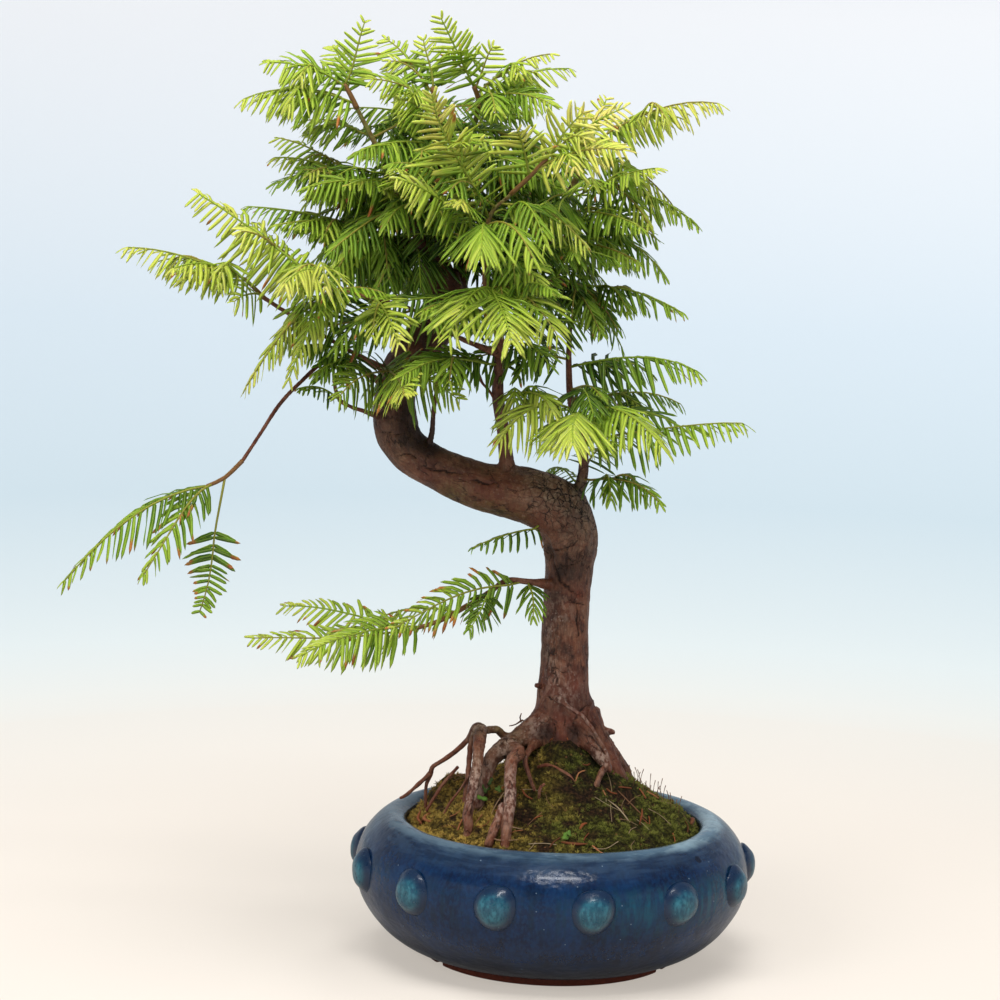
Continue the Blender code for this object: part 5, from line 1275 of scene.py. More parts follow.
def lobedLeaf(place, facing, radius, turn):
    # three lobes: r = R (0.5 + 0.5 |cos 1.5a|), cupped by 0.2 r^2 / R, as a thin closed skin
    facing = normalised(facing)
    across = normalised(np.cross(facing, np.array([0.2, 0.1, 1.0])))
    over = np.cross(facing, across)
    half = litter["leafHalf"]
    angle = np.arange(litter["leafSides"]) * full / litter["leafSides"]
    rim = radius * (0.5 + 0.5 * np.abs(np.cos(1.5 * angle)))
    grid = []
    for share, lift in ((0.5, half), (1.0, 0.0), (0.5, -half)):
        flat = (across[:, None] * np.cos(angle + turn) + over[:, None] * np.sin(angle + turn)) * rim * share
        grid.append(place + flat.T + facing * (0.2 * (rim * share) ** 2 / radius + lift)[:, None])
    return skin(np.array(grid), place + facing * half, place - facing * half)


def litterMaterial():
    # "litter" holds the colour number and 1 for a leaf
    material, place = newMaterial("litter", Specular_IOR_Level=0.3)
    kind, _alpha = colourAt("litter")
    _mask, drift = streaks(place, 0.5, 0.5, 4, 0.35, 0.65)
    dry = ramp(scaled(drift, 0.16, kind[0]), [
        (0.08, (160, 140, 112)), (0.35, (116, 86, 60)), (0.62, (92, 52, 32)), (0.85, (132, 70, 40)),
        (1.05, (158, 104, 68))])
    green = mixed(kind[0], (54, 66, 30), (102, 138, 54))
    feed(Base_Color=mixed(kind[1], dry, green), Roughness=scaled(drift, 0.4, 0.4))
    return material


# leaves: every frond springs from where the solids' frond does. A row holds the share of the way along the
# shoot or the named limb, the tip, the rise, how it faces, how far its needles hang, their length in mm, and
# the turns of its side fronds in degrees
sprays = {
    "spray_drooping": {
        "shoot": [(-150, -45, 241, 1.1), (-158, -47, 233, 1), (-166, -48, 229, 0.9)],
        "fronds": [(1, (-229, -66, 185), 9, "tilt", 0.35, 13), (0.85, (-193, -72, 189), 5, "tilt", 0.2, 12),
            (0.55, (-168, -52, 171), -3, "view", 0, 12)]},
    "spray_far_left": {
        "shoot": [(-142, -39, 316, 1.2), (-147, -41, 321, 1), (-151, -43, 325, 0.9)],
        "fronds": [(1, (-204, -58, 338), 3, "tilt", 0.45, 13, 34, -36),
            (0.6, (-177, -64, 325), 7, "tilt", 0.35, 13), (0.2, (-154, -60, 315), 2, "view", 0.1, 11)]},
    "spray_left": {
        "shoot": [(-89, -43, 317, 1.1), (-102, -45, 320, 1), (-115, -47, 323, 0.9)],
        "fronds": [(1, (-173, -52, 364), 2, "slant", 0.5, 16, -38),
            (0.8, (-128, -92, 326), 8, "tilt", 0.5, 17), (0.5, (-149, -58, 276), 10, "tilt", 0.4, 12, 36),
            (0.1, (-78, -74, 300), 3, "view", 0, 13)]},
    "frond_left_tuft": ("limb_left", 0.46, (-126, -46, 293), 4, "tilt", 0.4, 11),
    "frond_left_bush": ("limb_left", 0.34, (-116, -52, 284), 5, "tilt", 0.4, 13),
    "frond_left_big": ("limb_left", 0.2, (-75, -84, 277), 4, "view", 0, 17, 38, -42),
    "spray_left_low": {
        "shoot": [(-104, -20, 266, 1.1), (-107, -22, 268, 1), (-109, -24, 273, 0.9),
            (-110, -27, 281, 0.8)],
        "fronds": [(1, (-104, -50, 299), 4, "tilt", 0.2, 12), (0.2, (-125, -38, 275), 3, "tilt", 0.4, 7)]},
    "spray_mid_left": {
        "shoot": [(-84, -2, 343, 1.3), (-92, -3, 346, 1.1), (-99, -4, 347, 1)],
        "fronds": [(1, (-153, -20, 357), 3, "tilt", 0.4, 12, 38),
            (0.75, (-138, -33, 349), 4, "tilt", 0.3, 12), (0.5, (-123, 8, 331), 4, "tilt", 0.3, 13, -36),
            (0.25, (-108, -38, 331), 7, "slant", 0.6, 17, 38)]},
    "spray_upper_left": {
        "shoot": [(-92, -2, 366, 1.2), (-99, -1, 369, 1.1), (-105, 0, 371, 1)],
        "fronds": [(1, (-141, -12, 380), 3, "tilt", 0.4, 12, 36),
            (0.7, (-141, 12, 389), 3, "tilt", 0.3, 12), (0.4, (-124, -30, 363), 4, "tilt", 0.4, 12, -36)]},
    "frond_upper_left": ("leader_left", 0.86, (-131, 14, 397), 4, "tilt", 0.3, 12, 40),
    "spray_top_left": {
        "shoot": [(-103, -10, 404, 1.4), (-106, -11, 410, 1.2), (-109, -11, 415, 1)],
        "fronds": [(1, (-100, -12, 444), -2, "view", 0, 12),
            (0.8, (-144, -24, 424), 4, "slant", 0.3, 13, -38),
            (0.2, (-155, -28, 406), 6, "tilt", 0.5, 15, -34),
            (0.6, (-116, 12, 433), 2, "slant", 0, 12, -40)]},
    "frond_front_small": ("leader_left", 0.5, (-81, -66, 378), 4, "tilt", 0.2, 11, -38),
    "frond_front_high": ("riser_arm", 0.9, (-67, -62, 411), 4, "view", 0, 17),
    "frond_front_left": ("riser_arm", 0.83, (-81, -72, 374), 6, "slant", 0.3, 13, 38),
    "spray_front_shoot": {
        "shoot": [(-30, -34, 367, 1.2), (-22, -37, 375, 1.1), (-14, -41, 384, 1)],
        "fronds": [(1, (1, -46, 405), 1, "view", -0.1, 17), (0.85, (20, -44, 408), 3, "slant", 0.2, 14),
            (0.7, (21, -60, 389), 4, "slant", 0.2, 14), (0.5, (-28, -52, 396), 3, "view", 0, 15)]},
    "spray_top": {
        "shoot": [(-47, 14, 404, 1.5), (-46.5, 11.5, 410, 1.3), (-49, 8, 416, 1.1)],
        "fronds": [(1, (-65, -8, 447), 0, "view", 0, 13), (0.9, (-40, 6, 435), 2, "slant", 0.1, 11),
            (0.7, (-13, -6, 432), 4, "tilt", 0.3, 10, 38), (0.5, (-4, 18, 426), 4, "tilt", 0.3, 12),
            (0.4, (-12, -22, 408), 5, "slant", 0.2, 13, -38)]},
    "spray_top_mid": {
        "shoot": [(-65, 2, 398, 1.8), (-67, 1, 407, 1.4), (-68, 0, 415, 1.1)],
        "fronds": [(1, (-73, 4, 437), 1, "slant", 0, 12), (0.8, (-92, 14, 437), 3, "slant", 0.1, 13, 38),
            (0.38, (-96, -18, 418), 4, "slant", 0.2, 13, 40), (0.1, (-84, -32, 408), 3, "view", 0, 12)]},
    "spray_top_right": {
        "shoot": [(3, 12, 379, 1.7), (6, 10, 385, 1.4), (8, 8, 391, 1.1)],
        "fronds": [(1, (66, -14, 411), 7, "tilt", 0.55, 13, 34), (0.8, (14, 14, 412), 2, "slant", 0.1, 12),
            (0.3, (48, 22, 363), 8, "tilt", 0.4, 13, -38)]},
    "frond_right_a": ("leader_right", 0.95, (58, -2, 355), 5, "tilt", 0.4, 12, -34),
    "frond_right_b": ("leader_right", 0.84, (37, -26, 381), 5, "tilt", 0.3, 13, -36),
    "frond_right_c": ("leader_right", 0.76, (30, -36, 354), 5, "tilt", 0.4, 12, -38),
    "frond_right_d": ("leader_right", 0.68, (44, 10, 331), 8, "tilt", 0.5, 14, 36),
    "frond_right_e": ("leader_right", 0.6, (29, -26, 337), 6, "tilt", 0.4, 13, -38),
    "spray_mid_right": {
        "shoot": [(-8, 22, 328, 1.4), (-2, 19, 325, 1.2), (4, 16, 323, 1)],
        "fronds": [(1, (53, -2, 313), 4, "tilt", 0.4, 11), (0.8, (26, 26, 293), 5, "tilt", 0.4, 12),
            (0.3, (14, -18, 303), 5, "tilt", 0.3, 12, 38), (0.1, (21, 44, 319), 8, "tilt", 0.4, 12)]},
    "frond_arm_low": ("riser_arm", 0.49, (-10, -46, 290), 5, "tilt", 0.3, 13),
    "frond_arm_thin": ("riser_arm", 0.4, (-1, -14, 292), 6, "tilt", 0.1, 6),
    "frond_face_top": ("riser_arm", 0.86, (-43, -92, 341), 8, "tilt", 0.5, 18, 40),
    "frond_face_big": ("riser_arm", 0.68, (-29, -98, 304), 8, "tilt", 0.15, 22, 40, -40),
    "frond_face_left": ("riser_arm", 0.42, (-77, -72, 286), 5, "slant", 0.3, 14, -34),
    "frond_face_right": ("riser_arm", 0.74, (-15, -56, 327), 6, "slant", 0.2, 14, 40),
    "frond_face_upper": ("riser_arm", 0.96, (5, -46, 345), 8, "tilt", 0.3, 14, -38),
    "frond_stem_top": ("riser_right", 0.78, (60, -26, 287), 6, "tilt", 0.55, 14),
    "frond_stem_small": ("riser_right", 0.66, (16, -34, 274), 4, "tilt", 0.3, 9),
    "frond_stem_back": ("riser_right", 0.56, (55, 16, 268), 5, "tilt", 0.4, 12),
    "frond_stem_face": ("riser_right", 0.5, (2, -96, 259), 10, "tilt", 0.35, 22, 42, -42),
    "frond_stem_long": ("riser_right", 0.37, (81, -34, 264), 3, "tilt", 0.55, 14),
    "frond_stem_low": ("riser_right", 0.17, (43, -34, 226), 6, "tilt", 0.3, 12),
    "frond_stem_rear": ("riser_right", 0.22, (20, 30, 242), 4, "slant", 0.1, 11),
    "frond_stem_inner": ("riser_right", 0.13, (-7, 34, 232), 3, "tilt", 0.3, 9),
    "frond_arm_wide": ("riser_arm", 0.29, (-8, -54, 270), 7, "slant", 0.5, 14),
    "frond_low_upper": ("limb_low", 0.45, (-78, -52, 167), 8, "view", 0, 13),
    "spray_low": {
        "shoot": [(-44, -23, 173, 1.3), (-57, -28, 166, 1.1), (-74, -33, 161, 0.9)],
        "fronds": [(1, (-144, -46, 157), 0, "slant", 0.1, 12),
            (0.9, (-132, -22, 169), 3, "slant", 0.05, 11), (0.75, (-119, -74, 155), 5, "slant", 0.15, 14),
            (0.2, (-91, -8, 161), 4, "tilt", 0.3, 10)]},
    "frond_low_inner": ("limb_low", 0.37, (-13, -26, 168), 4, "slant", 0.3, 9),
    "frond_low_small": ("limb_low", 0.78, (-43, -46, 165), 3, "slant", 0.2, 9),
    "frond_under_bend": ("trunk", 0.455, (-42, -32, 202), 4, "tilt", 0.5, 8),
    "spray_back_left": {
        "shoot": [(-76, 35, 354, 1.4), (-81, 49, 358, 1.2), (-85, 62, 360, 1)],
        "fronds": [(1, (-91, 112, 366), 6, "up", 0.3, 14), (0.8, (-125, 84, 363), 6, "up", 0.3, 14),
            (0.4, (-115, 58, 343), 6, "up", 0.3, 14)]},
    "spray_back_right": {
        "shoot": [(-39, 52, 359, 1.4), (-33, 63, 363, 1.2), (-28, 74, 366, 1)],
        "fronds": [(1, (-28, 122, 374), 6, "up", 0.3, 14), (0.8, (14, 98, 370), 6, "up", 0.3, 14),
            (0.3, (4, 74, 349), 6, "up", 0.3, 14)]},
    "spray_back_low": {
        "shoot": [(-68, 40, 313, 1.5), (-70, 52, 316, 1.2), (-72, 64, 318, 1)],
        "fronds": [(1, (-66, 112, 318), 6, "up", 0.3, 14), (0.8, (-105, 88, 311), 6, "up", 0.3, 14),
            (0.4, (-34, 78, 308), 6, "up", 0.3, 14)]},
    "frond_core_left": ("leader_left", 0.22, (-90, -38, 322), 8, "slant", 0.6, 16, 38),
    "frond_core_front": ("leader_mid", 0.5, (-86, -48, 352), 7, "tilt", 0.4, 14, 40),
    "frond_core_right": ("leader_back", 0.5, (-14, -12, 384), 8, "tilt", 0.4, 14, 40),
    "frond_arm_left": ("riser_arm", 0.6, (-68, -56, 314), 5, "tilt", 0.4, 14),
    "frond_back_high": ("leader_back", 0.72, (-60, 84, 400), 7, "up", 0.3, 14),
    "frond_back_right": ("leader_back", 0.88, (-27, 70, 411), 6, "up", 0.3, 14),
    "frond_back_left": ("leader_mid", 0.86, (-90, 62, 404), 6, "up", 0.3, 14)}
facings = {"up": (0, -0.1, 1), "tilt": (0, -0.5, 0.87), "slant": (0, -0.8, 0.6), "view": (0, -1, 0.12)}
frond = {
    "pairPitch": 2.65, "firstShare": 0.06, "twigStart": 0.62, "twigEnd": 0.3, "twigSides": 6, "twigRows": 10,
    "sweepBase": 16.0, "sweepTip": 50.0, "reachLeast": 0.62, "reachStart": 0.1, "reachRate": 1.25,
    "reachFall": 0.5, "reachFallFrom": 0.7, "jitter": 0.16, "spring": 0.12, "seatGap": 0.38, "sway": 0.022,
    "fanStart": 0.12, "fanStep": 0.1, "fanReach": 0.74, "fanDrop": 5.0, "fanNeedle": 0.9, "longer": 1.14,
}
needle = {
    "stations": [0.0, 0.1, 0.5, 0.88, 1.0], "widths": [0.35, 0.9, 1.0, 0.78, 0.0], "width": 1.85,
    "glow": 0.35, "thick": 0.32, "trough": 0.2, "droop": 0.3, "forward": 0.22, "twist": 28.0, "wander": 0.09,
}
# how yellow each of these is above the rest; the negative values darken inner, core and low-hanging fronds
# as painted shade
youngAndShadedFronds = {
    "frond_face_big": 0.06, "frond_face_top": 0.04, "frond_stem_face": 0.14, "spray_left": 0.16,
    "frond_left_big": 0, "spray_low": 0.2, "frond_low_upper": 0.04, "frond_face_right": 0.02,
    "frond_face_upper": 0.06, "spray_front_shoot": 0.18, "spray_drooping": -0.06, "frond_stem_long": 0.05,
    "spray_far_left": 0.08, "frond_core_left": -0.14, "frond_core_front": -0.12, "frond_core_right": -0.1,
    "inner_fronds": -0.14, "frond_low_small": -0.1, "frond_under_bend": -0.15, "frond_arm_wide": 0.14,
    "spray_top_right": 0.12}
# how far apart and how wide the needles of these stand
openness = {
    "spray_drooping": 1.3, "spray_low": 1.15, "frond_low_upper": 1.25, "frond_under_bend": 1.4,
    "frond_stem_long": 1.3, "spray_far_left": 1.15, "frond_right_a": 1.2, "frond_stem_top": 1.2,
    "frond_right_b": 1.2, "frond_right_c": 1.2, "frond_right_d": 1.2, "frond_right_e": 1.2,
    "frond_arm_wide": 1.2, "frond_arm_low": 1.2, "frond_arm_thin": 1.2, "spray_mid_right": 1.15}
# the frond that hangs by a bare stalk has stiff needles
stalked = {("spray_drooping", 2): {"begin": 0.36, "open": 0.95, "soft": 0.25, "broad": 1.2}}
# how olive each of these is; the rest is green
bronzed = {
    "spray_front_shoot": 0.8, "frond_front_high": 0.85, "frond_front_left": 0.5, "frond_front_small": 0.6,
    "spray_top_right": 0.5, "spray_left": 0.35, "frond_left_big": 0.35, "spray_upper_left": 0.4,
    "frond_right_a": 0.3, "frond_face_big": 0.2, "spray_far_left": 0.25, "frond_arm_wide": 0.3}
# the share of withered needles; elsewhere it is 0.03
withered = {"spray_drooping": 0.35, "frond_low_upper": 0.85, "spray_low": 0.3, "frond_left_bush": 0.15}
# these get no short side fronds
sparse = {
    "frond_arm_thin", "frond_face_big", "frond_face_top", "frond_left_big", "frond_low_inner",
    "frond_low_small", "frond_low_upper", "frond_stem_face", "frond_stem_long", "frond_stem_top",
    "frond_under_bend", "spray_drooping", "spray_low"}
# limbs with filling fronds: how many, and from which share of the limb to which
filling = {
    "leader_mid": (18, 0.3, 1), "leader_back": (20, 0.2, 1), "leader_left": (20, 0.15, 1),
    "leader_right": (18, 0.15, 1), "riser_arm": (14, 0.5, 1), "twig_mid_left": (6, 0.3, 1),
    "twig_upper_left": (5, 0.3, 1), "twig_cross": (6, 0.3, 0.95), "limb_left": (6, 0.35, 0.95),
    "riser_right": (6, 0.5, 1)}
# turn between them, their size, how near to the solids' fronds they end, the window left open in front, and
# the number of pieces that they make
fillingRules = {"turn": 2.4, "size": (42, 72), "near": 17, "front": -24, "left": -84, "right": -24,
                "top": 378, "pieces": 4}


def bow(curve, t):
    # (1-t)^2 start + 2t(1-t) knee + t^2 end
    start, knee, end = curve
    return (1 - t) ** 2 * start + 2 * t * (1 - t) * knee + t * t * end


def atShare(path, share):
    # point, radius and direction at a share of the path's length
    run = runAlong(path)
    here = np.array([np.interp(share * run[-1], run, path[:, k]) for k in range(4)])
    row = min(int(np.searchsorted(run, share * run[-1], side="right")) - 1, len(run) - 2)
    return here[:3], here[3], normalised(path[row + 1, :3] - path[row, :3])


def mainFrond(row, path, sunk=False):
    # start on a shoot's middle, or off the bark towards the tip; knee = middle raised by twice the rise
    share, tip, rise, facing, hang, length = row[:6]
    point, radius, direction = atShare(path, share)
    towards = np.array(tip, float) - point
    outward = normalised(towards - direction * (towards @ direction))
    start = point if sunk else point + outward * (radius + frond["seatGap"])
    knee = (start + np.array(tip)) / 2 + np.array([0, 0, 2.0 * rise])
    if not sunk:
        knee = knee + outward * np.linalg.norm(tip - start) * frond["spring"]
    root = start if sunk else point + outward * radius * 0.5
    return {"curve": (start, knee, np.array(tip, float)), "root": root, "rise": rise, "facing": facing,
            "hang": hang, "length": length}


def sideFrond(main, place, turn, reach=None):
    # starts on the main twig and turns away from it about the vertical
    start = bow(main["curve"], frond["fanStart"] + frond["fanStep"] * place)
    away = (main["curve"][2] - start) * (reach or frond["fanReach"])
    c, s = math.cos(math.radians(turn)), math.sin(math.radians(turn))
    end = start + np.array([away[0] * c - away[1] * s, away[0] * s + away[1] * c,
                            away[2] - frond["fanDrop"]])
    knee = (start + end) / 2 + np.array([0, 0, 2.0 * main["rise"]])
    return {**main, "curve": (start, knee, end), "root": start,
            "length": main["length"] * frond["fanNeedle"]}


def needleReach(share):
    # swell sin(pi (start + rate share)) up to 1, less a fall towards the tip
    swell = np.sin(math.pi * np.minimum(1.0, frond["reachStart"] + frond["reachRate"] * share))
    fall = (share - frond["reachFallFrom"]).clip(0) / (1 - frond["reachFallFrom"])
    return (frond["reachLeast"] + (1 - frond["reachLeast"]) * swell) * (1 - frond["reachFall"] * fall)


def frondNeedles(plan, tone, dry, bronze):
    # where each needle of one frond starts, its aim, face, length, width and colour numbers
    start, knee, end = plan["curve"]
    size = np.linalg.norm(end - start)
    begin = plan.get("begin", frond["firstShare"])
    pairs = max(6, int(round(size * (1 - begin) / (frond["pairPitch"] * plan["open"]))))
    share = np.linspace(begin, 0.985, pairs)
    share = share + rng.uniform(-0.25, 0.25, pairs) / pairs
    sway = np.sin(share * 5.2 + plan["phase"]) * size * frond["sway"] * plan["swing"]
    across0 = normalised(np.cross(end - start, np.array(facings[plan["facing"]], float)))
    axis = bow(plan["curve"], share[:, None]) + across0 * sway[:, None]
    along = normalised(np.gradient(axis, axis=0))
    across = normalised(across0 - (along @ across0)[:, None] * along)
    upward = np.cross(across, along)
    side = np.tile([1.0, -1.0], pairs)
    row = np.repeat(np.arange(pairs), 2)
    place = share[row] + side * 0.12 / pairs
    sweep = frond["sweepBase"] + (frond["sweepTip"] - frond["sweepBase"]) * place.clip(0) ** 1.3
    soft, broad = plan.get("soft", 1.0), plan.get("broad", 0.75 + 0.25 * plan["open"])
    sweep = np.radians(sweep * (0.4 + 0.6 * soft))
    aim = (across[row] * (side * np.cos(sweep))[:, None] + along[row] * np.sin(sweep)[:, None]
           - np.array([0, 0, 1.0]) * plan["hang"] + rng.uniform(-1, 1, (2 * pairs, 3)) * frond["jitter"])
    aim = normalised(aim)
    face = normalised(upward[row] - (upward[row] * aim).sum(1)[:, None] * aim)
    length = plan["length"] * frond["longer"] * needleReach(place) * rng.uniform(0.86, 1.06, 2 * pairs)
    width = needle["width"] * broad * (0.6 + 0.4 * (length / 13).clip(0, 1.15))
    width = width * rng.uniform(0.88, 1.08, 2 * pairs)
    down = np.array([0, 0, -needle["droop"] * (1 + plan["hang"])])
    bend = (down + along[row] * needle["forward"]) * soft
    bend = bend + rng.normal(0, needle["wander"], (2 * pairs, 3))
    # the frond's tone brings its painted light and shade; needles grow paler towards the frond's tip
    shade = tone + 0.34 * (place - 0.55) + rng.normal(0, 0.045, 2 * pairs)
    wither = (rng.uniform(0, 1, 2 * pairs) < dry) * rng.uniform(0.3, 1.0, 2 * pairs)
    found = [axis[row], aim, face, length, width, bend, shade, wither, bronze * (0.6 + 0.5 * place)]
    return found, np.vstack([plan["root"], axis])


def needleSkins(base, aim, face, length, width, bend, shade, wither, bronze):
    # centre line base + length (u aim + u^2 bend); section: two raised edges, a trough and a keel
    stations, widths = np.array(needle["stations"]), np.array(needle["widths"])
    count, rows = len(base), len(stations) - 1
    u = stations[None, :, None]
    centre = base[:, None] + length[:, None, None] * (u * aim[:, None] + u ** 2 * bend[:, None])
    along = normalised(aim[:, None] + 2 * u * bend[:, None])
    side = normalised(np.cross(along, face[:, None]))
    over = np.cross(side, along)
    turn = (rng.normal(0, 1, count)[:, None] * math.radians(needle["twist"]) * (0.3 + stations))[..., None]
    side, over = side * np.cos(turn) + over * np.sin(turn), over * np.cos(turn) - side * np.sin(turn)
    half = (width[:, None] * widths / 2)[..., None]
    edge = needle["trough"] * half
    thick = needle["thick"] * np.sqrt(widths)[None, :, None] * (width[:, None, None] / needle["width"])
    ring = np.stack([centre - side * half + over * edge, centre - over * thick * 0.5,
                     centre + side * half + over * edge, centre + over * thick * 0.35], axis=2)
    points = np.concatenate([ring[:, :rows].reshape(count, rows * 4, 3), centre[:, -1:]], axis=1)
    here = np.arange(rows * 4).reshape(rows, 4)
    beside, quads = roundFaces(here)
    quads = np.vstack([quads, [[0, 1, 2, 3]]])
    tips = np.stack([here[-1], np.full(4, rows * 4), beside[-1]], axis=-1)
    start = np.arange(count)[:, None, None] * (rows * 4 + 1)
    runs = np.append(np.repeat(stations[:rows], 4), 1.0)
    sides = np.append(np.tile([0.0, 0.5, 1.0, 0.5], rows), 0.5)
    tint = np.zeros((count, rows * 4 + 1, 4))
    tint[..., 0] = shade[:, None] + 0.1 * (runs - 0.4)[None]
    tint[..., 1] = wither[:, None]
    tint[..., 3] = bronze[:, None]
    uv = np.stack([np.tile(sides, count), np.tile(runs, count)], axis=1)
    mesh = (points.reshape(-1, 3), (quads + start).reshape(-1, 4), (tips + start).reshape(-1, 3))
    return mesh, tint.reshape(-1, 4), uv


def twigSkin(points, startRadius, endRadius, age):
    # a six-sided twig through the frond's stations, taken at even steps
    run = runAlong(points)
    even = np.linspace(0, run[-1], frond["twigRows"])
    path = np.stack([np.interp(even, run, points[:, k]) for k in range(3)]
                    + [np.linspace(startRadius, endRadius, len(even))], axis=1)
    part = loft(path, frond["twigSides"])
    tint = np.zeros((len(part[0]), 4))
    tint[:, 0] = age
    tint[:, 2] = 1.0
    return part, tint, np.zeros((len(part[0]), 2))


def toneWithPaintedLightOf(name, plan):
    # painted light and shade: brighter with height, with distance from the trunk's line and towards the
    # front, and darker inside
    end = plan["curve"][2]
    tone = 0.4 + 0.2 * np.clip((end[2] - 330) / 110, -0.5, 1) + 0.08 * np.clip(-end[1] / 90, -1.5, 1)
    middle = np.linalg.norm((end - np.array([-40, 0, 340])) / np.array([110, 80, 90]))
    tone += 0.22 * (min(middle, 1.1) - 0.85)
    key = "inner_fronds" if name.startswith("inner") else name
    return tone + youngAndShadedFronds.get(key, 0.0) + rng.normal(0, 0.07)


def plansOf(name, spray, paths):
    # a spray's main fronds, the side fronds that the solids have, and short ones that fill the rest
    shoot, rows = None, []
    if isinstance(spray, dict):
        shoot, rows = smoothPath(spray["shoot"], 4.0), spray["fronds"]
    else:
        rows = [spray[1:]]
    plans = []
    for number, row in enumerate(rows):
        main = mainFrond(row, paths[spray[0]] if shoot is None else shoot, shoot is not None)
        main.update(stalked.get((name, number), {}))
        turns = row[6:]
        group = [main] + [sideFrond(main, place, turn) for place, turn in enumerate(turns)]
        size = np.linalg.norm(main["curve"][2] - main["curve"][0])
        if size > 34 and name not in sparse:
            sides = [(2.6, -math.copysign(34, turns[0]))] if turns else [(1, -34), (2.2, 36)]
            group += [sideFrond(main, place, turn, 0.5) for place, turn in sides]
        for plan in group:
            plan["phase"], plan["swing"] = rng.uniform(0, full), rng.uniform(-1, 1)
            plan.setdefault("open", openness.get(name, 1.0))
        plans += group
    return plans, shoot


def fillingPlans(paths, known):
    # fronds off the leaders at a golden turn, kept where the solids' fronds are near, so the outline stays
    found, rules = [], fillingRules
    axes = np.vstack([bow(plan["curve"], np.linspace(0, 1, 9)[:, None]) for plan in known])
    for parent, (count, begin, finish) in filling.items():
        for number in range(count):
            share = begin + (finish - begin) * (number + rng.uniform(-0.4, 0.4)) / count
            point, radius, direction = atShare(paths[parent], share)
            turn = number * rules["turn"] + rng.uniform(-0.5, 0.5)
            out = np.array([math.cos(turn), math.sin(turn) * 0.9, rng.uniform(-0.1, 0.45)])
            out = normalised(out - direction * (out @ direction) * 0.6)
            size = rng.uniform(*rules["size"])
            tip = point + out * size - np.array([0, 0, size * 0.08])
            apart = np.linalg.norm(axes - tip, axis=1).min()
            ahead = tip[1] < rules["front"] and tip[2] < rules["top"]
            if apart > rules["near"] or (ahead and rules["left"] < tip[0] < rules["right"]):
                continue
            facing = ("tilt", "slant", "up")[number % 3]
            rise, hang, length = rng.uniform(3, 7), rng.uniform(0.15, 0.45), rng.uniform(12, 15)
            plan = mainFrond((share, tuple(tip), rise, facing, hang, length), paths[parent])
            group = [plan, sideFrond(plan, 0, rng.uniform(32, 42) * (1, -1)[number % 2], 0.6)]
            for made in group:
                made["phase"], made["swing"] = rng.uniform(0, full), rng.uniform(-1, 1)
                made["open"] = 1.15
            found += group
    return found


def buildLeaves(paths):
    # one piece for each of the solids' sprays and a few for the filling, of needles, twigs and shoot
    material = leafMaterial()
    total = 0
    groups = {name: plansOf(name, spray, paths) for name, spray in sprays.items()}
    extra = fillingPlans(paths, [plan for plans, _shoot in groups.values() for plan in plans])
    print("leaves: %d filling fronds" % len(extra))
    for number in range(fillingRules["pieces"]):
        groups["inner_fronds_%d" % number] = (extra[number::fillingRules["pieces"]], None)
    for name, (plans, shoot) in groups.items():
        needles, pieces = [], []
        for plan in plans:
            found, twig = frondNeedles(plan, toneWithPaintedLightOf(name, plan), withered.get(name, 0.03),
                                       bronzed.get(name, 0.0))
            needles.append(found)
            pieces.append(twigSkin(twig, frond["twigStart"], frond["twigEnd"], rng.uniform(0.0, 0.45)))
        if shoot is not None:
            pieces.append(twigSkin(shoot[:, :3], shoot[0, 3], shoot[-1, 3], 0.8))
        pieces.append(needleSkins(*[np.concatenate(column) for column in zip(*needles)]))
        parts, tints, uvs = zip(*pieces)
        mesh = newMesh(name + "_leaves", *joined(parts))
        setColour(mesh, "tint", np.vstack(tints))
        setUv(mesh, np.vstack(uvs))
        addPiece(name + "_leaves", mesh, material, (name,) if name in sprays else ())
        total += sum(len(found[0]) for found in needles)
    print("leaves: %d sprays, %d needles" % (len(sprays), total))


def leafMaterial():
    # tint: tone with painted light and shade, dryness, twig or needle, and how olive; UV: across and along
    # the needle
    material, place = newMaterial("redwood_needle", Specular_IOR_Level=0.4,
                                  Subsurface_Weight=needle["glow"], Subsurface_Radius=(0.7, 1.0, 0.25),
                                  Subsurface_Scale=mm)
    tint, olive = colourAt("tint")
    drift, driftRaw = streaks(place, 0.07, 0.07, 3, 0.35, 0.65)
    tone = scaled(maths("SUBTRACT", driftRaw, 0.5), 0.3, tint[0])
    green = ramp(tone, [
        (0.1, (38, 62, 16)), (0.3, (78, 112, 26)), (0.5, (126, 156, 42)), (0.68, (166, 184, 62)),
        (0.86, (196, 204, 88)), (1.0, (212, 212, 116))])
    bronze = ramp(tone, [(0.2, (92, 86, 24)), (0.55, (160, 146, 54)), (0.9, (206, 186, 98))])
    twig = ramp(tint[0], [(0.1, (132, 152, 46)), (0.45, (140, 124, 56)), (0.9, (118, 70, 46))])
    uv = addNode("UVMap", uv_map="UVMap").outputs[0]
    across, along, _zero = addNode("SeparateXYZ", {0: uv}).outputs
    rib = span(maths("ABSOLUTE", maths("SUBTRACT", across, 0.5)), 0.12, 0.02)
    dryFrom = maths("SUBTRACT", 1, times(tint[1], 0.4))
    dry = times(span(maths("SUBTRACT", along, dryFrom), -0.05, 0.12), span(tint[1], 0.02, 0.1))
    colour = layered(
        green,
        (times(olive, drift), bronze),
        (times(rib, 0.25), (204, 214, 92)),
        (dry, mixed(drift, (140, 74, 36), (186, 116, 62))),
        (tint[2], twig))
    feed(Base_Color=colour, Roughness=scaled(driftRaw, 0.25, 0.33))
    return material


# stage
stage = {
    "flat": 600, "reach": 2400, "height": 3000, "rows": 60, "columns": 96, "sunk": 0.05, "glow": 0.5,
    "paper": 0.47, "worldLight": 0.3,
}


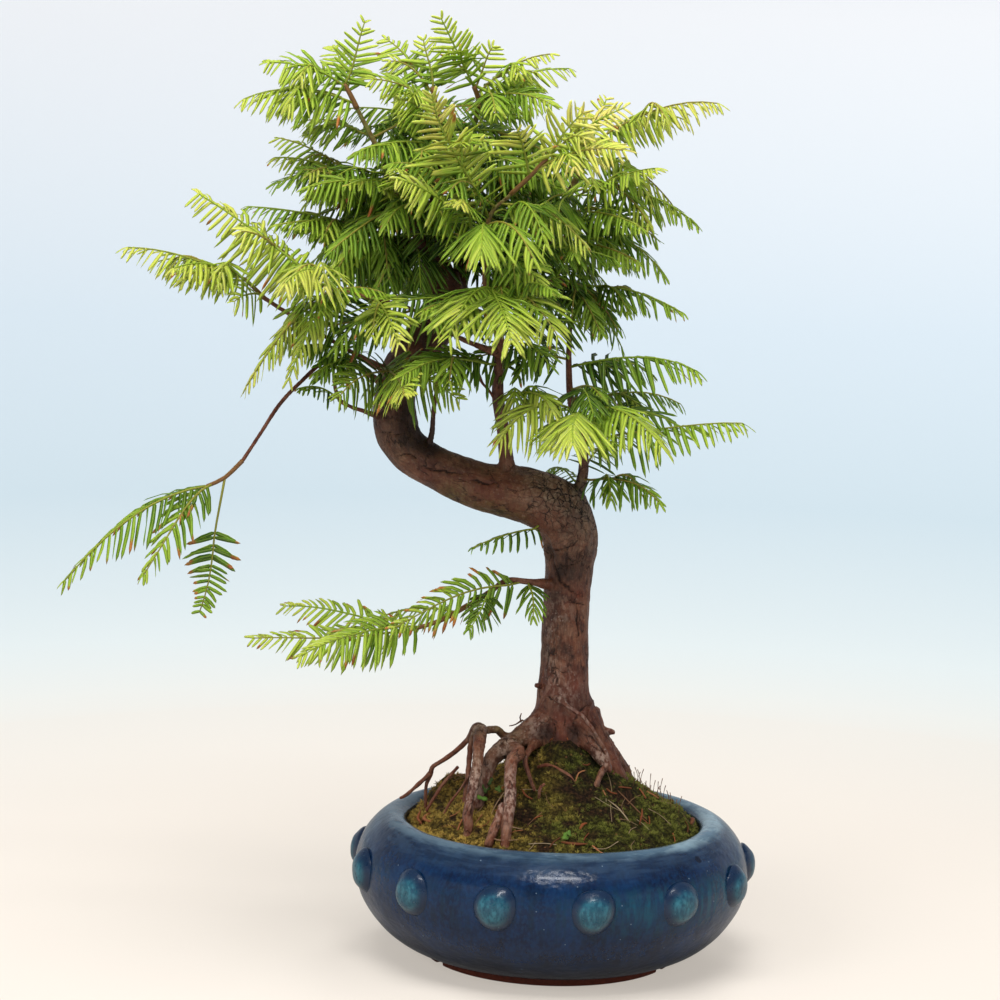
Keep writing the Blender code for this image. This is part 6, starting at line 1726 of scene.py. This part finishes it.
def buildStage():
    # flat floor to the radius "flat", then a quarter ellipse up to "height" at "flat" + "reach"
    rise = np.linspace(0, math.pi / 2 * 0.97, stage["rows"])
    radius = np.concatenate([[1.0, 150.0, 400.0], stage["flat"] + stage["reach"] * np.sin(rise)])
    height = np.concatenate([[0.0, 0.0, 0.0], stage["height"] * (1 - np.cos(rise))]) - stage["sunk"]
    grid = turned(np.column_stack([radius, height]), stage["columns"])
    here = np.arange(len(radius) * stage["columns"]).reshape(grid.shape[:2])
    beside, quads = roundFaces(here)
    points = np.vstack([grid.reshape(-1, 3), [[0, 0, -stage["sunk"]]]])
    middle = np.stack([np.full(stage["columns"], len(points) - 1), here[0], beside[0]], axis=-1)
    mesh = newMesh("backdrop", points, quads, middle)
    material, place = newMaterial("pale_paper", Roughness=0.9, Specular_IOR_Level=0.1,
                                  Emission_Strength=stage["glow"])
    level = addNode("SeparateXYZ", {0: place}).outputs[2]
    away = addNode("VectorMath", {0: place}, operation="LENGTH").outputs["Value"]
    high = maths("POWER", maths("DIVIDE", level, 700, clamp=True), 0.5)
    colour = ramp(scaled(span(away, 250, 900), 0.12, times(high, 0.85)), [
        (0.0, (240, 231, 220)), (0.12, (236, 237, 232)), (0.22, (229, 237, 237)),
        (0.4, (210, 226, 234)), (0.58, (222, 235, 244)), (0.85, (250, 252, 255))])
    feed(Base_Color=mixed(stage["paper"], (0, 0, 0), colour))
    seen = addNode("LightPath").outputs["Is Camera Ray"]
    feed(Emission_Color=mixed(seen, (70, 72, 76), colour))
    mesh.materials.append(material)
    addObject("backdrop", mesh)
    world = bpy.data.worlds.new("studio")
    world.use_nodes = True
    background = world.node_tree.nodes["Background"].inputs
    background[0].default_value = srgb(236, 242, 250)
    background[1].default_value = stage["worldLight"]
    scene.world = world
    scene.view_settings.view_transform = "Standard"
    print("stage: ready")


addCamera()
addLamps()
buildStage()
buildPot()
buildStuds()
finishScreen()
buildSoil()
buildMoss()
buildLitter()
buildWood()
buildLeaves({name: smoothPath(points, 4.0) for name, points in limbs.items()})
